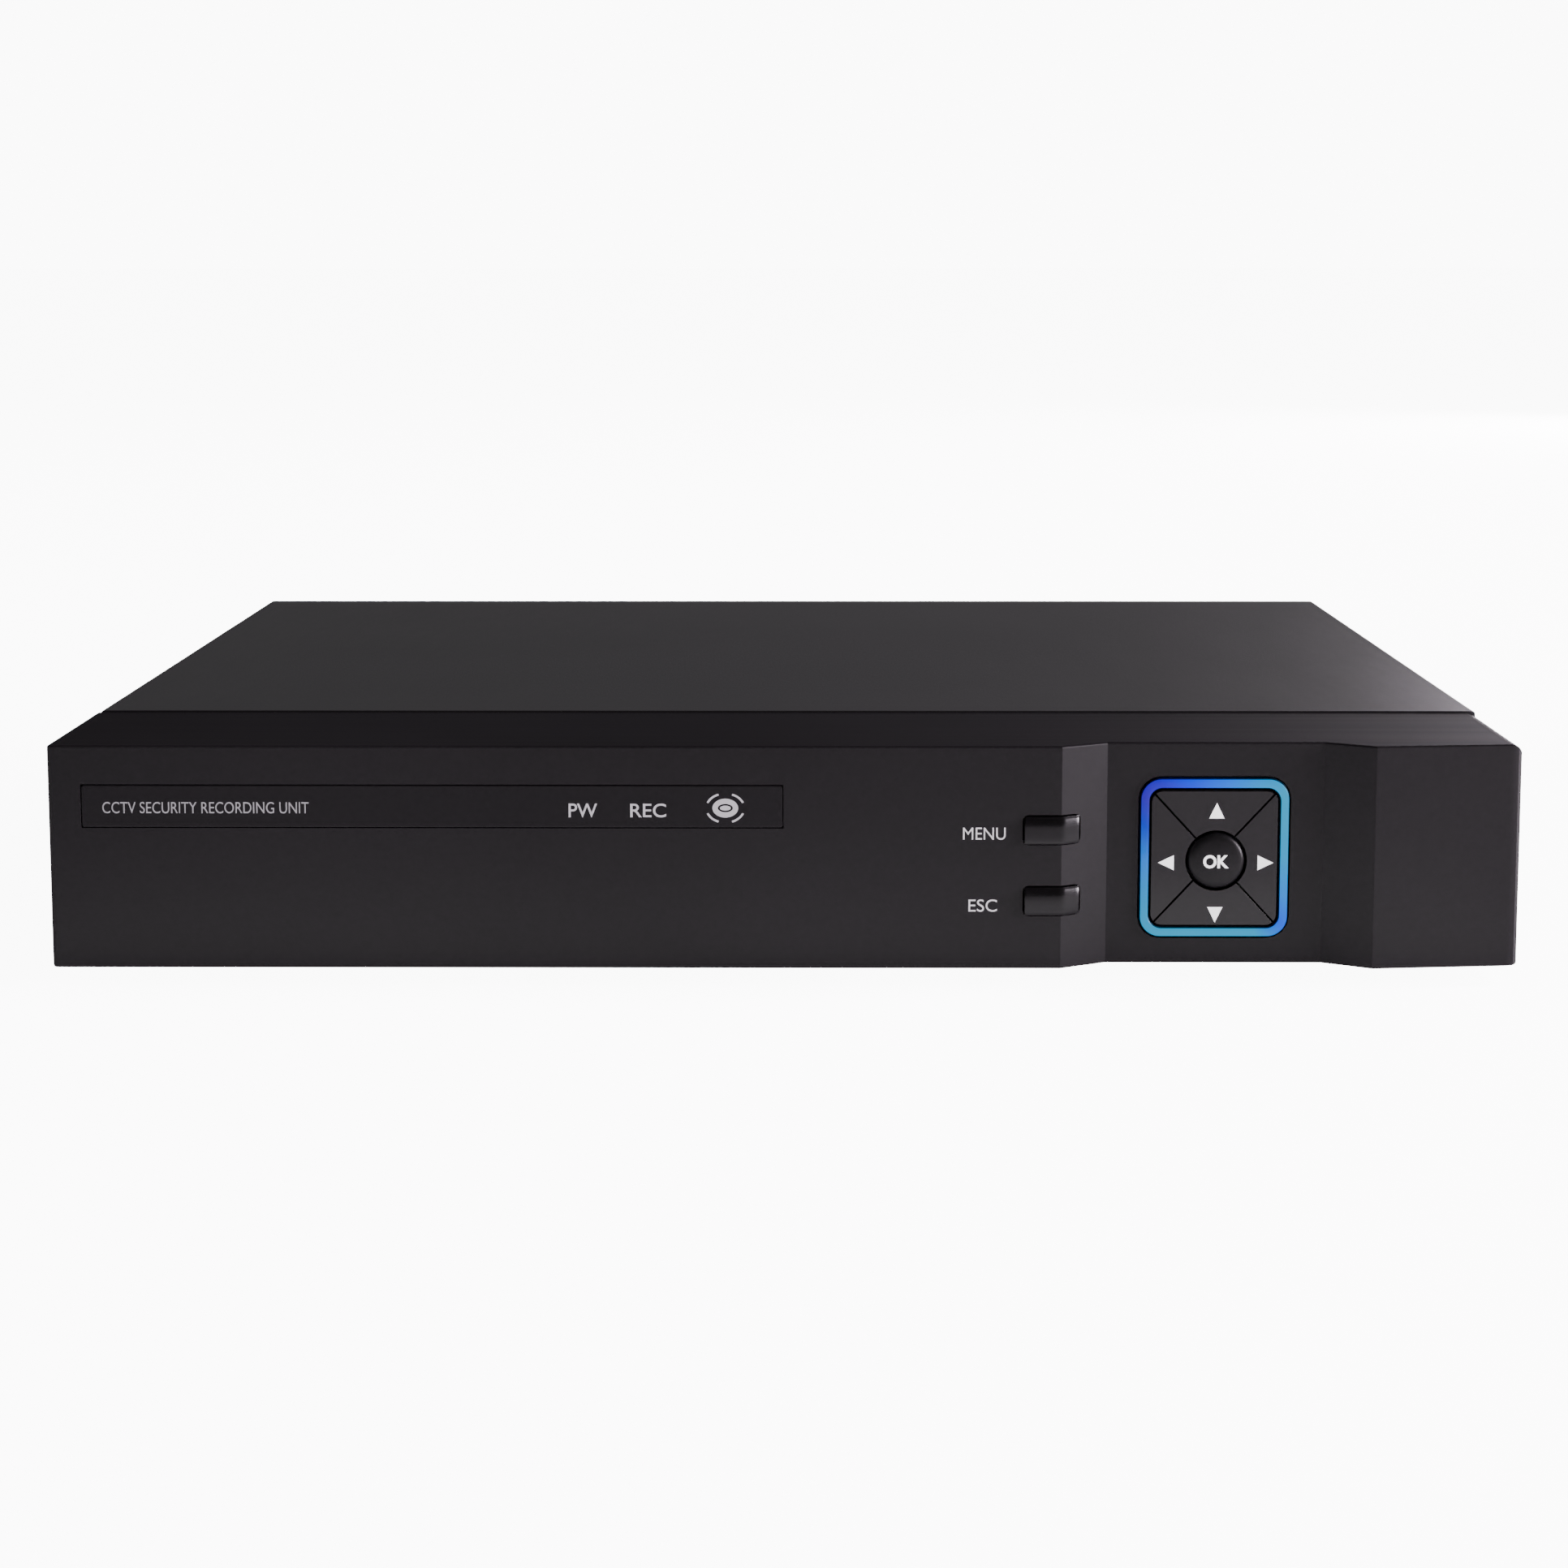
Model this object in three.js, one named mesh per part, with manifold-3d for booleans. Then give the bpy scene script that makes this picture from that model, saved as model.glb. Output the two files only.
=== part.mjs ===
// Mini video recorder for security cameras: a steel case with a moulded front bezel, a lit key pad,
// a key board behind it, a main board with its rear connectors, a disk drive and a small fan.
// Millimetres, +Z up, front towards -Y, origin on the resting plane under the middle of the box.
import * as THREE from "three";
import { mergeVertices } from "three/addons/utils/BufferGeometryUtils.js";
import Module from "manifold-3d";

const wasm = await Module();
wasm.setup();

// ---------------------------------------------------------------- driving dimensions
const CASE_W = 300; // bezel width
const FOOT_H = 4; // rubber feet under the case
const BEZEL_H = 46.05; // bezel height
const BEZEL_D = 40; // bezel depth, front face to seam
const COVER_W = 298.7; // steel cover width
const COVER_TOP = 50.35; // top of the steel cover
const CASE_D = 225; // front face to rear edge of the cover
const SHEET = 1.0; // cover sheet thickness
const WALL = 2.5; // bezel front wall
const GAP = 0.3; // clearance between touching pieces

const RECESS = 4.7; // depth of the key recess
const SLANT_L0 = 56.0, SLANT_L1 = 65.7; // left slant of the recess, X
const SLANT_R0 = 109.9, SLANT_R1 = 119.5; // right slant of the recess, X
const SWEEP = 2.6; // how far the right end of the bezel sweeps back

const WIN = [-142.8, -0.8, 33.5, 41.7]; // window strip X0 X1 Z0 Z1
const RING = [72.4, 102.9, 9.6, 42.7]; // light ring outer X0 X1 Z0 Z1
const RING_W = 2.0; // light ring width
const RING_PROUD = 0.8; // light ring above the recess floor
const LAMP_Z = 37.4; // lamps and receiver behind the window strip
const OK_POS = [88.05, 25.6], OK_R = 5.8; // round key
const NAV = { up: [87.7, 35.8], down: [87.7, 14.6], left: [77.9, 25.9], right: [97.6, 25.9] };
const MENU = [48.4, 59.7, 30.0, 35.6]; // menu key X0 X1 Z0 Z1
const ESC = [48.5, 59.8, 15.3, 21.0]; // escape key
const KEY_PROUD = 0.9; // side keys above the bezel face
const STEM_END = 12.3; // depth of every key stem

const PCB_Y0 = 17.5, PCB_Y1 = 19.1; // key board
const BOARD = { x0: -36.5, x1: 143.9, y0: 110, y1: 222.4, z0: 10, z1: 11.6 }; // main board
const PORT_Z = 11.9; // underside of the connectors
const PANEL_Y0 = 223, PANEL_Y1 = 224; // rear panel
const DRIVE = { x0: -143.5, x1: -41.9, y0: 48, y1: 194.1, z0: 8.3, z1: 34.4 };
const FAN = { x: -95, z: 26.3, half: 20, y0: 212.7, y1: 222.7 };
const BNC_X = [22, 5.5, -11, -27.5], BNC_Z = [19.5, 35.5], BNC_TIP = 234;

const Y_MIN = -KEY_PROUD, Y_MAX = BNC_TIP;
const Y_MID = (Y_MIN + Y_MAX) / 2;

// ---------------------------------------------------------------- solids
function solid(g) {
  const c = g.index ? g.toNonIndexed() : g.clone();
  c.deleteAttribute("normal");
  c.deleteAttribute("uv");
  const m = mergeVertices(c, 1e-4);
  return new wasm.Manifold(
    new wasm.Mesh({
      numProp: 3,
      vertProperties: new Float32Array(m.attributes.position.array),
      triVerts: new Uint32Array(m.index.array),
    }),
  );
}
function geometryOf(s) {
  const m = s.getMesh();
  const pos = new Float32Array(m.numVert * 3);
  for (let i = 0; i < m.numVert; i++)
    for (let k = 0; k < 3; k++) pos[3 * i + k] = m.vertProperties[i * m.numProp + k];
  let g = new THREE.BufferGeometry();
  g.setAttribute("position", new THREE.BufferAttribute(pos, 3));
  g.setIndex(Array.from(m.triVerts));
  g = g.toNonIndexed();
  g.computeVertexNormals();
  return g;
}
const join = (...s) => s.reduce((a, b) => a.add(b));
const cut = (a, ...s) => s.reduce((x, b) => x.subtract(b), a);

const box = (x0, x1, y0, y1, z0, z1) =>
  solid(new THREE.BoxGeometry(x1 - x0, y1 - y0, z1 - z0).translate((x0 + x1) / 2, (y0 + y1) / 2, (z0 + z1) / 2));
const cylY = (x, z, r, y0, y1, seg = 20, r2 = r) =>
  solid(new THREE.CylinderGeometry(r2, r, y1 - y0, seg).translate(x, (y0 + y1) / 2, z));
const cylZ = (x, y, r, z0, z1, seg = 20) =>
  solid(new THREE.CylinderGeometry(r, r, z1 - z0, seg).rotateX(Math.PI / 2).translate(x, y, (z0 + z1) / 2));
const cylX = (y, z, r, x0, x1, seg = 16) =>
  solid(new THREE.CylinderGeometry(r, r, x1 - x0, seg).rotateZ(Math.PI / 2).translate((x0 + x1) / 2, y, z));

const shapeOf = (pts) => new THREE.Shape(pts.map(([a, b]) => new THREE.Vector2(a, b)));
// outline in X,Y drawn up along Z, with its top and bottom edges rounded by "round"
function prismZ(pts, z0, z1, round = 0) {
  const g = new THREE.ExtrudeGeometry(shapeOf(pts), {
    depth: z1 - z0 - 2 * round, steps: 1, bevelEnabled: round > 0,
    bevelThickness: round, bevelSize: round, bevelOffset: -round, bevelSegments: 3,
  });
  return solid(g.translate(0, 0, z0 + round));
}
// outline in X,Z drawn along Y
function prismY(pts, y0, y1, round = 0) {
  const g = new THREE.ExtrudeGeometry(shapeOf(pts), {
    depth: y1 - y0 - 2 * round, steps: 1, bevelEnabled: round > 0,
    bevelThickness: round, bevelSize: round, bevelOffset: -round, bevelSegments: 2,
  });
  return solid(g.rotateX(Math.PI / 2).translate(0, y1 - round, 0));
}
// outline in Y,Z drawn along X
const AXES_X = new THREE.Matrix4().makeBasis(new THREE.Vector3(0, 1, 0), new THREE.Vector3(0, 0, 1), new THREE.Vector3(1, 0, 0));
const prismX = (pts, x0, x1) =>
  solid(new THREE.ExtrudeGeometry(shapeOf(pts), { depth: x1 - x0, steps: 1, bevelEnabled: false }).applyMatrix4(AXES_X).translate(x0, 0, 0));

function arc(cx, cy, r, a0, a1, n) {
  const p = [];
  for (let i = 0; i <= n; i++) {
    const a = ((a0 + ((a1 - a0) * i) / n) * Math.PI) / 180;
    p.push([cx + r * Math.cos(a), cy + r * Math.sin(a)]);
  }
  return p;
}
// rounded rectangle, counter-clockwise
const rr = (x0, x1, z0, z1, r, n = 4) => [
  ...arc(x1 - r, z0 + r, r, -90, 0, n), ...arc(x1 - r, z1 - r, r, 0, 90, n),
  ...arc(x0 + r, z1 - r, r, 90, 180, n), ...arc(x0 + r, z0 + r, r, 180, 270, n),
];
// solid of revolution about Y through (x, z); profile is [radius, y], from the axis back to the axis
const latheY = (profile, x, z, seg = 20) =>
  solid(new THREE.LatheGeometry(profile.map(([a, b]) => new THREE.Vector2(a, b)), seg).translate(x, 0, z));
const latheZ = (profile, x, y, seg = 24) =>
  solid(new THREE.LatheGeometry(profile.map(([a, b]) => new THREE.Vector2(a, b)), seg).rotateX(Math.PI / 2).translate(x, y, 0));

// ---------------------------------------------------------------- assembly
const recorder = new THREE.Group();
recorder.name = "video_recorder";
const caseGroup = new THREE.Group(); // holds everything in case coordinates, Y = 0 at the bezel face
caseGroup.position.set(0, -Y_MID, 0);
recorder.add(caseGroup);

const finish = {
  steel: { color: 0x2c2a2d, roughness: 0.55, metalness: 0.3 },
  zinc: { color: 0x9a9ca0, roughness: 0.4, metalness: 0.9 },
  bezel: { color: 0x1b191c, roughness: 0.35, metalness: 0 },
  window: { color: 0x0b0a0d, roughness: 0.12, metalness: 0 },
  light: { color: 0x18a8e8, roughness: 0.3, metalness: 0, emissive: 0x1090e0 },
  key: { color: 0x141316, roughness: 0.3, metalness: 0 },
  rubber: { color: 0x17171a, roughness: 0.9, metalness: 0 },
  board: { color: 0x1d5a34, roughness: 0.5, metalness: 0 },
  black: { color: 0x1a1a1c, roughness: 0.5, metalness: 0 },
  nickel: { color: 0xb9bbc0, roughness: 0.3, metalness: 1 },
  white: { color: 0xe8e8e6, roughness: 0.5, metalness: 0 },
  red: { color: 0xc02018, roughness: 0.3, metalness: 0 },
  alu: { color: 0xa8abb0, roughness: 0.4, metalness: 0.9 },
  grey: { color: 0x8a8c90, roughness: 0.6, metalness: 0 },
};
function add(name, s, look) {
  const mesh = new THREE.Mesh(geometryOf(s), new THREE.MeshStandardMaterial({ ...finish[look] }));
  mesh.name = name;
  caseGroup.add(mesh);
  return mesh;
}

// ---------------------------------------------------------------- front bezel
const Z0 = FOOT_H, Z1 = FOOT_H + BEZEL_H;
const bezelOutline = [
  ...arc(-149, 1, 1, 180, 270, 2),
  [SLANT_L0, 0], [SLANT_L1, RECESS], [SLANT_R0, RECESS], [SLANT_R1, 0],
  [147.2, 2.36], [148.9, 2.85], [149.75, 3.9], [150, 5.2],
  [150, BEZEL_D], [-150, BEZEL_D],
];
const bezelInner = [
  [-148, WALL], [55.6, WALL], [65.0, RECESS + WALL], [110.5, RECESS + WALL], [120.1, WALL],
  [147.0, 5.0], [148, 6.5], [148, BEZEL_D + 2], [-148, BEZEL_D + 2],
];
// upright outline: the top right corner is rounded, the others are nearly sharp
const bezelUpright = [[-151, Z0 - 1], [150, Z0 - 1], ...arc(150 - 3, Z1 - 3, 3, 0, 90, 8), [-151, Z1]];
let bezel = cut(prismZ(bezelOutline, Z0, Z1, 0.5).intersect(prismY(bezelUpright, -5, BEZEL_D + 5)), prismZ(bezelInner, Z0 + 2, Z1 - 2));
// pocket of the window strip, with holes for the two lamps and the receiver behind it
bezel = cut(
  bezel,
  box(WIN[0] - 0.4, WIN[1] + 0.4, -2, 1.5, WIN[2] - 0.4, WIN[3] + 0.4),
  cylY(-41.1, LAMP_Z, 1.8, 0, 4, 16), cylY(-27.8, LAMP_Z, 1.8, 0, 4, 16), cylY(-12.2, LAMP_Z, 2.6, 0, 4, 16),
);
// opening of the light ring and the slots of the two side keys
bezel = cut(
  bezel,
  prismY(rr(RING[0] - GAP, RING[1] + GAP, RING[2] - GAP, RING[3] + GAP, 4.6, 4), 0, 10),
  prismY(rr(MENU[0] - GAP, MENU[1] + GAP, MENU[2] - GAP, MENU[3] + GAP, 1.2, 3), -3, 12),
  prismY(rr(ESC[0] - GAP, ESC[1] + GAP, ESC[2] - GAP, ESC[3] + GAP, 1.2, 3), -3, 12),
);
// bosses that hold the key board, and four clips that hook into the case front
const BOSS = [[-48, 13], [-48, 42], [36, 13], [36, 42], [108.2, 13], [108.2, 42]];
for (const [x, z] of BOSS) {
  const y0 = x > 60 ? 6.5 : 2;
  bezel = join(bezel, cylY(x, z, 2.3, y0, PCB_Y0 - GAP, 12));
  bezel = cut(bezel, cylY(x, z, 0.9, PCB_Y0 - 7, PCB_Y0 + 1, 10));
}
const CLIP_X = [-120, 120];
for (const x of CLIP_X) {
  bezel = join(
    bezel,
    box(x - 6, x + 6, BEZEL_D - 5, BEZEL_D + 4, Z1 - 3.6, Z1 - 1.8), box(x - 6, x + 6, BEZEL_D + 2.2, BEZEL_D + 4, Z1 - 4.6, Z1 - 3.4),
    box(x - 6, x + 6, BEZEL_D - 5, BEZEL_D + 4, Z0 + 1.8, Z0 + 3.6), box(x - 6, x + 6, BEZEL_D + 2.2, BEZEL_D + 4, Z0 + 3.4, Z0 + 4.6),
  );
}
add("front_bezel", bezel, "bezel");

add("display_window", box(WIN[0], WIN[1], 0.05, 1.2, WIN[2], WIN[3]), "window");

// ---------------------------------------------------------------- light ring and keys
const ringOuter = rr(RING[0], RING[1], RING[2], RING[3], 4.3, 5);
const ringFlange = rr(RING[0] - 1.4, RING[1] + 1.4, RING[2] - 1.4, RING[3] + 1.4, 5.2, 5);
const ringInner = rr(RING[0] + RING_W, RING[1] - RING_W, RING[2] + RING_W + 0.1, RING[3] - RING_W - 0.2, 2.6, 4);
add(
  "nav_light_ring",
  cut(
    join(prismY(ringOuter, RECESS - RING_PROUD, RECESS + WALL + GAP + 0.1, 0.35), prismY(ringFlange, RECESS + WALL + GAP, RECESS + WALL + GAP + 1.5)),
    prismY(ringInner, 0, 12),
  ),
  "light",
);

const pad = { x0: RING[0] + RING_W + GAP, x1: RING[1] - RING_W - GAP, z0: RING[2] + RING_W + GAP + 0.1, z1: RING[3] - RING_W - GAP - 0.2 };
const padC = [(pad.x0 + pad.x1) / 2, (pad.z0 + pad.z1) / 2];
const KEY_FACE = RECESS - 0.5, KEY_BACK = 10.4;
function wedge(a, b, off) {
  const p = [padC[0] + off[0], padC[1] + off[1]];
  const k = 1.6;
  return [p, [p[0] + k * (a[0] - padC[0]), p[1] + k * (a[1] - padC[1])], [p[0] + k * (b[0] - padC[0]), p[1] + k * (b[1] - padC[1])]];
}
const corner = { tl: [pad.x0, pad.z1], tr: [pad.x1, pad.z1], br: [pad.x1, pad.z0], bl: [pad.x0, pad.z0] };
const wedges = {
  up: wedge(corner.tr, corner.tl, [0, 0.26]),
  down: wedge(corner.bl, corner.br, [0, -0.26]),
  left: wedge(corner.tl, corner.bl, [-0.26, 0]),
  right: wedge(corner.br, corner.tr, [0.26, 0]),
};
const lug = {
  up: [padC[0] - 3, padC[0] + 3, pad.z1 - 1, pad.z1 + 1.4],
  down: [padC[0] - 3, padC[0] + 3, pad.z0 - 1.4, pad.z0 + 1],
  left: [pad.x0 - 1.4, pad.x0 + 1, padC[1] - 3, padC[1] + 3],
  right: [pad.x1 - 1, pad.x1 + 1.4, padC[1] - 3, padC[1] + 3],
};
const padPrism = prismY(rr(pad.x0, pad.x1, pad.z0, pad.z1, 2.3, 4), KEY_FACE, KEY_BACK, 0.3);
for (const k of ["up", "down", "left", "right"]) {
  const l = lug[k];
  const body = cut(padPrism.intersect(prismY(wedges[k], 0, 14)), cylY(OK_POS[0], OK_POS[1], OK_R + 0.5, 0, 14, 32));
  add(
    k + "_key",
    join(body, box(l[0], l[1], 9.4, KEY_BACK, l[2], l[3]), cylY(NAV[k][0], NAV[k][1], 1.6, KEY_BACK - 0.5, STEM_END, 12)),
    "key",
  );
}
add(
  "ok_key",
  join(
    latheY([[0, 3.35], [2.6, 3.42], [4.6, 3.65], [5.4, 3.95], [OK_R, 4.5], [OK_R, 11.3], [7.1, 11.3], [7.1, 12.0], [0, 12.0]], OK_POS[0], OK_POS[1], 24),
    cylY(OK_POS[0], OK_POS[1], 1.6, 11.9, STEM_END, 12),
  ),
  "key",
);
// the two side keys wrap over the edge of the recess
for (const [name, k] of [["menu_key", MENU], ["esc_key", ESC]]) {
  const turn = SLANT_L0 + 0.2;
  const yEnd = ((k[1] - SLANT_L0) * RECESS) / (SLANT_L1 - SLANT_L0) - KEY_PROUD;
  const plan = [[k[0], -KEY_PROUD + 0.3], [k[0] + 0.3, -KEY_PROUD], [turn, -KEY_PROUD], [k[1] - 0.25, yEnd - 0.12], [k[1], yEnd + 0.3], [k[1], 7.6], [k[0], 7.6]];
  const cz = (k[2] + k[3]) / 2;
  add(
    name,
    join(prismZ(plan, k[2], k[3], 0.35), box(k[0] - 1.2, k[1] + 1.2, 6.2, 7.6, k[2] - 1, k[3] + 1), cylY(54.2, cz, 1.6, 7, STEM_END, 12)),
    "key",
  );
}

// ---------------------------------------------------------------- key board with switches, lamps and receiver
add(
  "key_board",
  cut(
    join(box(-52, 112, PCB_Y0, PCB_Y1, 8.5, 46), box(14, 26, PCB_Y1 - 0.2, 21.6, 15, 21)),
    ...BOSS.map(([x, z]) => cylY(x, z, 1.1, PCB_Y0 - 1, PCB_Y1 + 1, 10)),
  ),
  "board",
);
const SWITCHES = { ...NAV, ok: OK_POS, menu: [54.2, (MENU[2] + MENU[3]) / 2], esc: [54.2, (ESC[2] + ESC[3]) / 2] };
for (const [k, [x, z]] of Object.entries(SWITCHES)) {
  add(k + "_switch_body", cut(box(x - 3, x + 3, 13.7, PCB_Y0 - GAP, z - 3, z + 3), cylY(x, z, 2.05, 13, 15.8, 14)), "black");
  add(k + "_switch_plunger", cylY(x, z, 1.75, STEM_END + GAP, 14.9, 14), "grey");
}
function lamp(x, z, y0) {
  // domed lamp with a collar and two legs
  return join(
    latheY([[0, y0], [0.9, y0 + 0.25], [1.45, y0 + 1.3], [1.5, y0 + 4.2], [1.9, y0 + 4.2], [1.9, y0 + 5.2], [0, y0 + 5.2]], x, z, 14),
    box(x - 1.0, x - 0.6, y0 + 5, PCB_Y0 - GAP, z - 0.25, z + 0.25), box(x + 0.6, x + 1.0, y0 + 5, PCB_Y0 - GAP, z - 0.25, z + 0.25),
  );
}
add("power_led", lamp(-41.1, LAMP_Z, 3.0), "red");
add("record_led", lamp(-27.8, LAMP_Z, 3.0), "red");
add(
  "ir_receiver",
  join(
    box(-15.2, -9.2, 6, 10, LAMP_Z - 3.4, LAMP_Z + 3.4), latheY([[0, 3.2], [1.2, 3.4], [2.1, 4.2], [2.5, 6.2], [0, 6.2]], -12.2, LAMP_Z, 14),
    ...[-1.8, 0, 1.8].map((d) => box(-12.2 + d - 0.3, -12.2 + d + 0.3, 9.8, PCB_Y0 - GAP, LAMP_Z - 0.3, LAMP_Z + 0.3)),
  ),
  "black",
);
add("ring_led_left", join(box(71.6, 74.8, 15.7, PCB_Y0 - GAP, 41.0, 43.8), box(72.2, 74.2, 14.9, 16, 41.5, 43.3)), "white");
add("ring_led_right", join(box(101.4, 104.6, 15.7, PCB_Y0 - GAP, 41.0, 43.8), box(102, 104, 14.9, 16, 41.5, 43.3)), "white");

// ---------------------------------------------------------------- steel base
const SIDE_Y = [90, 190], SIDE_Z = 11.6;
const FRONT_Y = BEZEL_D + 0.4, PANEL_TOP = COVER_TOP - SHEET - GAP; // front upstand, top of the upright walls
let base = join(
  box(-147.9, 147.9, FRONT_Y, PANEL_Y1, 4.6, 5.8),
  box(-147.9, 147.9, FRONT_Y, FRONT_Y + 1, 4.6, PANEL_TOP),
  box(-147.9, 147.9, PANEL_Y0, PANEL_Y1, 4.6, PANEL_TOP),
);
for (const s of [-1, 1])
  for (const y of SIDE_Y)
    base = join(base, prismX([[y - 7, 5], [y + 7, 5], [y + 7, 15], [y + 5, 17], [y - 5, 17], [y - 7, 15]], s > 0 ? 145.3 : -146.3, s > 0 ? 146.3 : -145.3));
const POST = [[-31, 116], [139, 116], [-31, 198], [139, 198]];
for (const [x, y] of POST) base = join(base, cylZ(x, y, 2.8, 5.6, BOARD.z0 - GAP, 12));
for (const x of [DRIVE.x0 + 8, DRIVE.x1 - 8]) for (const y of [DRIVE.y0 + 20, DRIVE.y1 - 20]) base = join(base, cylZ(x, y, 3.5, 5.6, DRIVE.z0 - GAP, 12));
// opening for the key board cable, clip windows, side screw holes, floor vents
base = cut(base, prismY(rr(-36, 100, 12, 41, 3, 3), FRONT_Y - 1, FRONT_Y + 2));
for (const x of CLIP_X) base = cut(base, box(x - 7, x + 7, FRONT_Y - 1, FRONT_Y + 2, Z1 - 5.2, Z1 - 1.6), box(x - 7, x + 7, FRONT_Y - 1, FRONT_Y + 2, Z0 + 1.5, Z0 + 5.2));
for (const y of SIDE_Y) base = cut(base, cylX(y, SIDE_Z, 1.75, -148, -144, 12), cylX(y, SIDE_Z, 1.75, 144, 148, 12));
const slot = (cx, y0, y1, w, z0, z1) => prismZ(rr(cx - w / 2, cx + w / 2, y0, y1, w / 2 - 0.3, 1), z0, z1);
for (let i = 0; i < 8; i++) base = cut(base, slot(-20 + i * 8, 60, 92, 3.2, 4, 7));
// rear panel cut-outs
const dShape = (cx, cz, w, h, r) => {
  const a = w / 2, b = w / 2 - 1.2, t = h / 2;
  return [[cx - b + r, cz - t], [cx + b - r, cz - t], [cx + b + 0.1, cz - t + r], [cx + a, cz + t - r], [cx + a - r, cz + t], [cx - a + r, cz + t], [cx - a, cz + t - r], [cx - b - 0.1, cz - t + r]];
};
const PX = { dc: 138.5, lan: 121.5, usb: 104, hdmi: 87, vga: 63.5, audio: 39.5 };
const VGA_Z = 18.2;
const panelCut = (pts) => prismY(pts, PANEL_Y0 - 1, PANEL_Y1 + 1);
base = cut(
  base,
  panelCut(rr(PX.dc - 4.95, PX.dc + 4.95, PORT_Z - 0.35, 22.85, 0.8, 2)),
  panelCut(rr(PX.lan - 8.35, PX.lan + 8.35, PORT_Z - 0.35, 25.55, 0.6, 2)),
  panelCut(rr(PX.usb - 7.25, PX.usb + 7.25, PORT_Z - 0.35, 27.95, 0.6, 2)),
  panelCut(rr(PX.hdmi - 7.6, PX.hdmi + 7.6, PORT_Z - 0.35, 18.0, 0.8, 2)),
  panelCut(dShape(PX.vga, VGA_Z, 17.9, 9.3, 1.4)),
  cylY(PX.vga - 12.5, VGA_Z, 2.9, PANEL_Y0 - 1, PANEL_Y1 + 1, 12), cylY(PX.vga + 12.5, VGA_Z, 2.9, PANEL_Y0 - 1, PANEL_Y1 + 1, 12),
  cylY(PX.audio, 20, 4.7, PANEL_Y0 - 1, PANEL_Y1 + 1, 14), cylY(PX.audio, 34, 4.7, PANEL_Y0 - 1, PANEL_Y1 + 1, 14),
);
for (const x of BNC_X) for (const z of BNC_Z) base = cut(base, cylY(x, z, 6.5, PANEL_Y0 - 1, PANEL_Y1 + 1, 14));
// fan grille of upright slots, fan screw holes, hole of the rear cover screw
for (let i = -3; i <= 3; i++) {
  const h = Math.sqrt(17.2 * 17.2 - Math.pow(Math.abs(i) * 4.6 + 1.2, 2));
  for (const [a, b] of [[FAN.z - h, FAN.z - 1.2], [FAN.z + 1.2, FAN.z + h]])
    base = cut(base, panelCut(rr(FAN.x + i * 4.6 - 1.6, FAN.x + i * 4.6 + 1.6, a, b, 1.3, 1)));
}
for (const sx of [-1, 1]) for (const sz of [-1, 1]) base = cut(base, cylY(FAN.x + sx * 16, FAN.z + sz * 16, 1.9, PANEL_Y0 - 1, PANEL_Y1 + 1, 12));
base = cut(base, cylY(-60, 47.0, 1.2, PANEL_Y0 - 1, PANEL_Y1 + 1, 10));
add("base_chassis", base, "zinc");

// ---------------------------------------------------------------- steel cover
const cw = COVER_W / 2, ct = COVER_TOP;
const coverSection = [
  [-cw, 4.6], [-cw + SHEET, 4.6], ...arc(-cw + SHEET + 0.4, ct - SHEET - 0.4, 0.4, 180, 90, 2), ...arc(cw - SHEET - 0.4, ct - SHEET - 0.4, 0.4, 90, 0, 2),
  [cw - SHEET, 4.6], [cw, 4.6], ...arc(cw - 0.6, ct - 0.6, 0.6, 0, 90, 3), ...arc(-cw + 0.6, ct - 0.6, 0.6, 90, 180, 3),
];
let cover = join(prismY(coverSection, BEZEL_D + GAP, CASE_D), box(-cw + 0.4, cw - 0.4, PANEL_Y1 + GAP, CASE_D, 44.2, ct - 0.4));
for (const s of [-1, 1]) {
  for (const y of SIDE_Y) {
    cover = join(cover, cylX(y, SIDE_Z, 4.7, s > 0 ? 146.7 : -149.0, s > 0 ? 149.0 : -146.7, 18));
    cover = cut(cover, cylX(y, SIDE_Z, 3.7, s > 0 ? 147.7 : -151, s > 0 ? 151 : -147.7, 18), cylX(y, SIDE_Z, 1.75, s > 0 ? 146 : -148.5, s > 0 ? 148.5 : -146, 12));
  }
  // upright vent slots in the side walls
  for (let i = 0; i < 14; i++) {
    const y = 112 + i * 4.8;
    cover = cut(cover, prismX([[y - 1.1, 19.8], [y, 19.2], [y + 1.1, 19.8], [y + 1.1, 36.2], [y, 36.8], [y - 1.1, 36.2]], s > 0 ? 147 : -151, s > 0 ? 151 : -147));
  }
}
cover = cut(cover, cylY(-60, 47.0, 1.6, PANEL_Y1 - 0.5, CASE_D + 1, 12));
add("top_cover", cover, "steel");

// pan-head screws
function screwX(side, y) {
  const s = side;
  return join(cylX(y, SIDE_Z, 2.9, s > 0 ? 147.95 : -149.2, s > 0 ? 149.2 : -147.95, 16), cylX(y, SIDE_Z, 1.45, s > 0 ? 144.4 : -148.2, s > 0 ? 148.2 : -144.4, 10));
}
add("cover_screw_left_front", screwX(-1, SIDE_Y[0]), "black");
add("cover_screw_left_rear", screwX(-1, SIDE_Y[1]), "black");
add("cover_screw_right_front", screwX(1, SIDE_Y[0]), "black");
add("cover_screw_right_rear", screwX(1, SIDE_Y[1]), "black");
add("cover_screw_back", join(cylY(-60, 47.0, 2.5, CASE_D + GAP, CASE_D + 1.7, 16), cylY(-60, 47.0, 0.95, 219, CASE_D + 0.5, 10)), "black");

// rubber feet
for (const [name, x, y] of [["foot_front_left", -125, 60], ["foot_front_right", 125, 60], ["foot_rear_left", -125, 200], ["foot_rear_right", 125, 200]])
  add(name, latheZ([[0, 0.6], [4.2, 0.6], [4.6, 0], [6.6, 0], [7.2, 0.6], [7.6, 4.3], [0, 4.3]], x, y, 16), "rubber");

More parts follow.
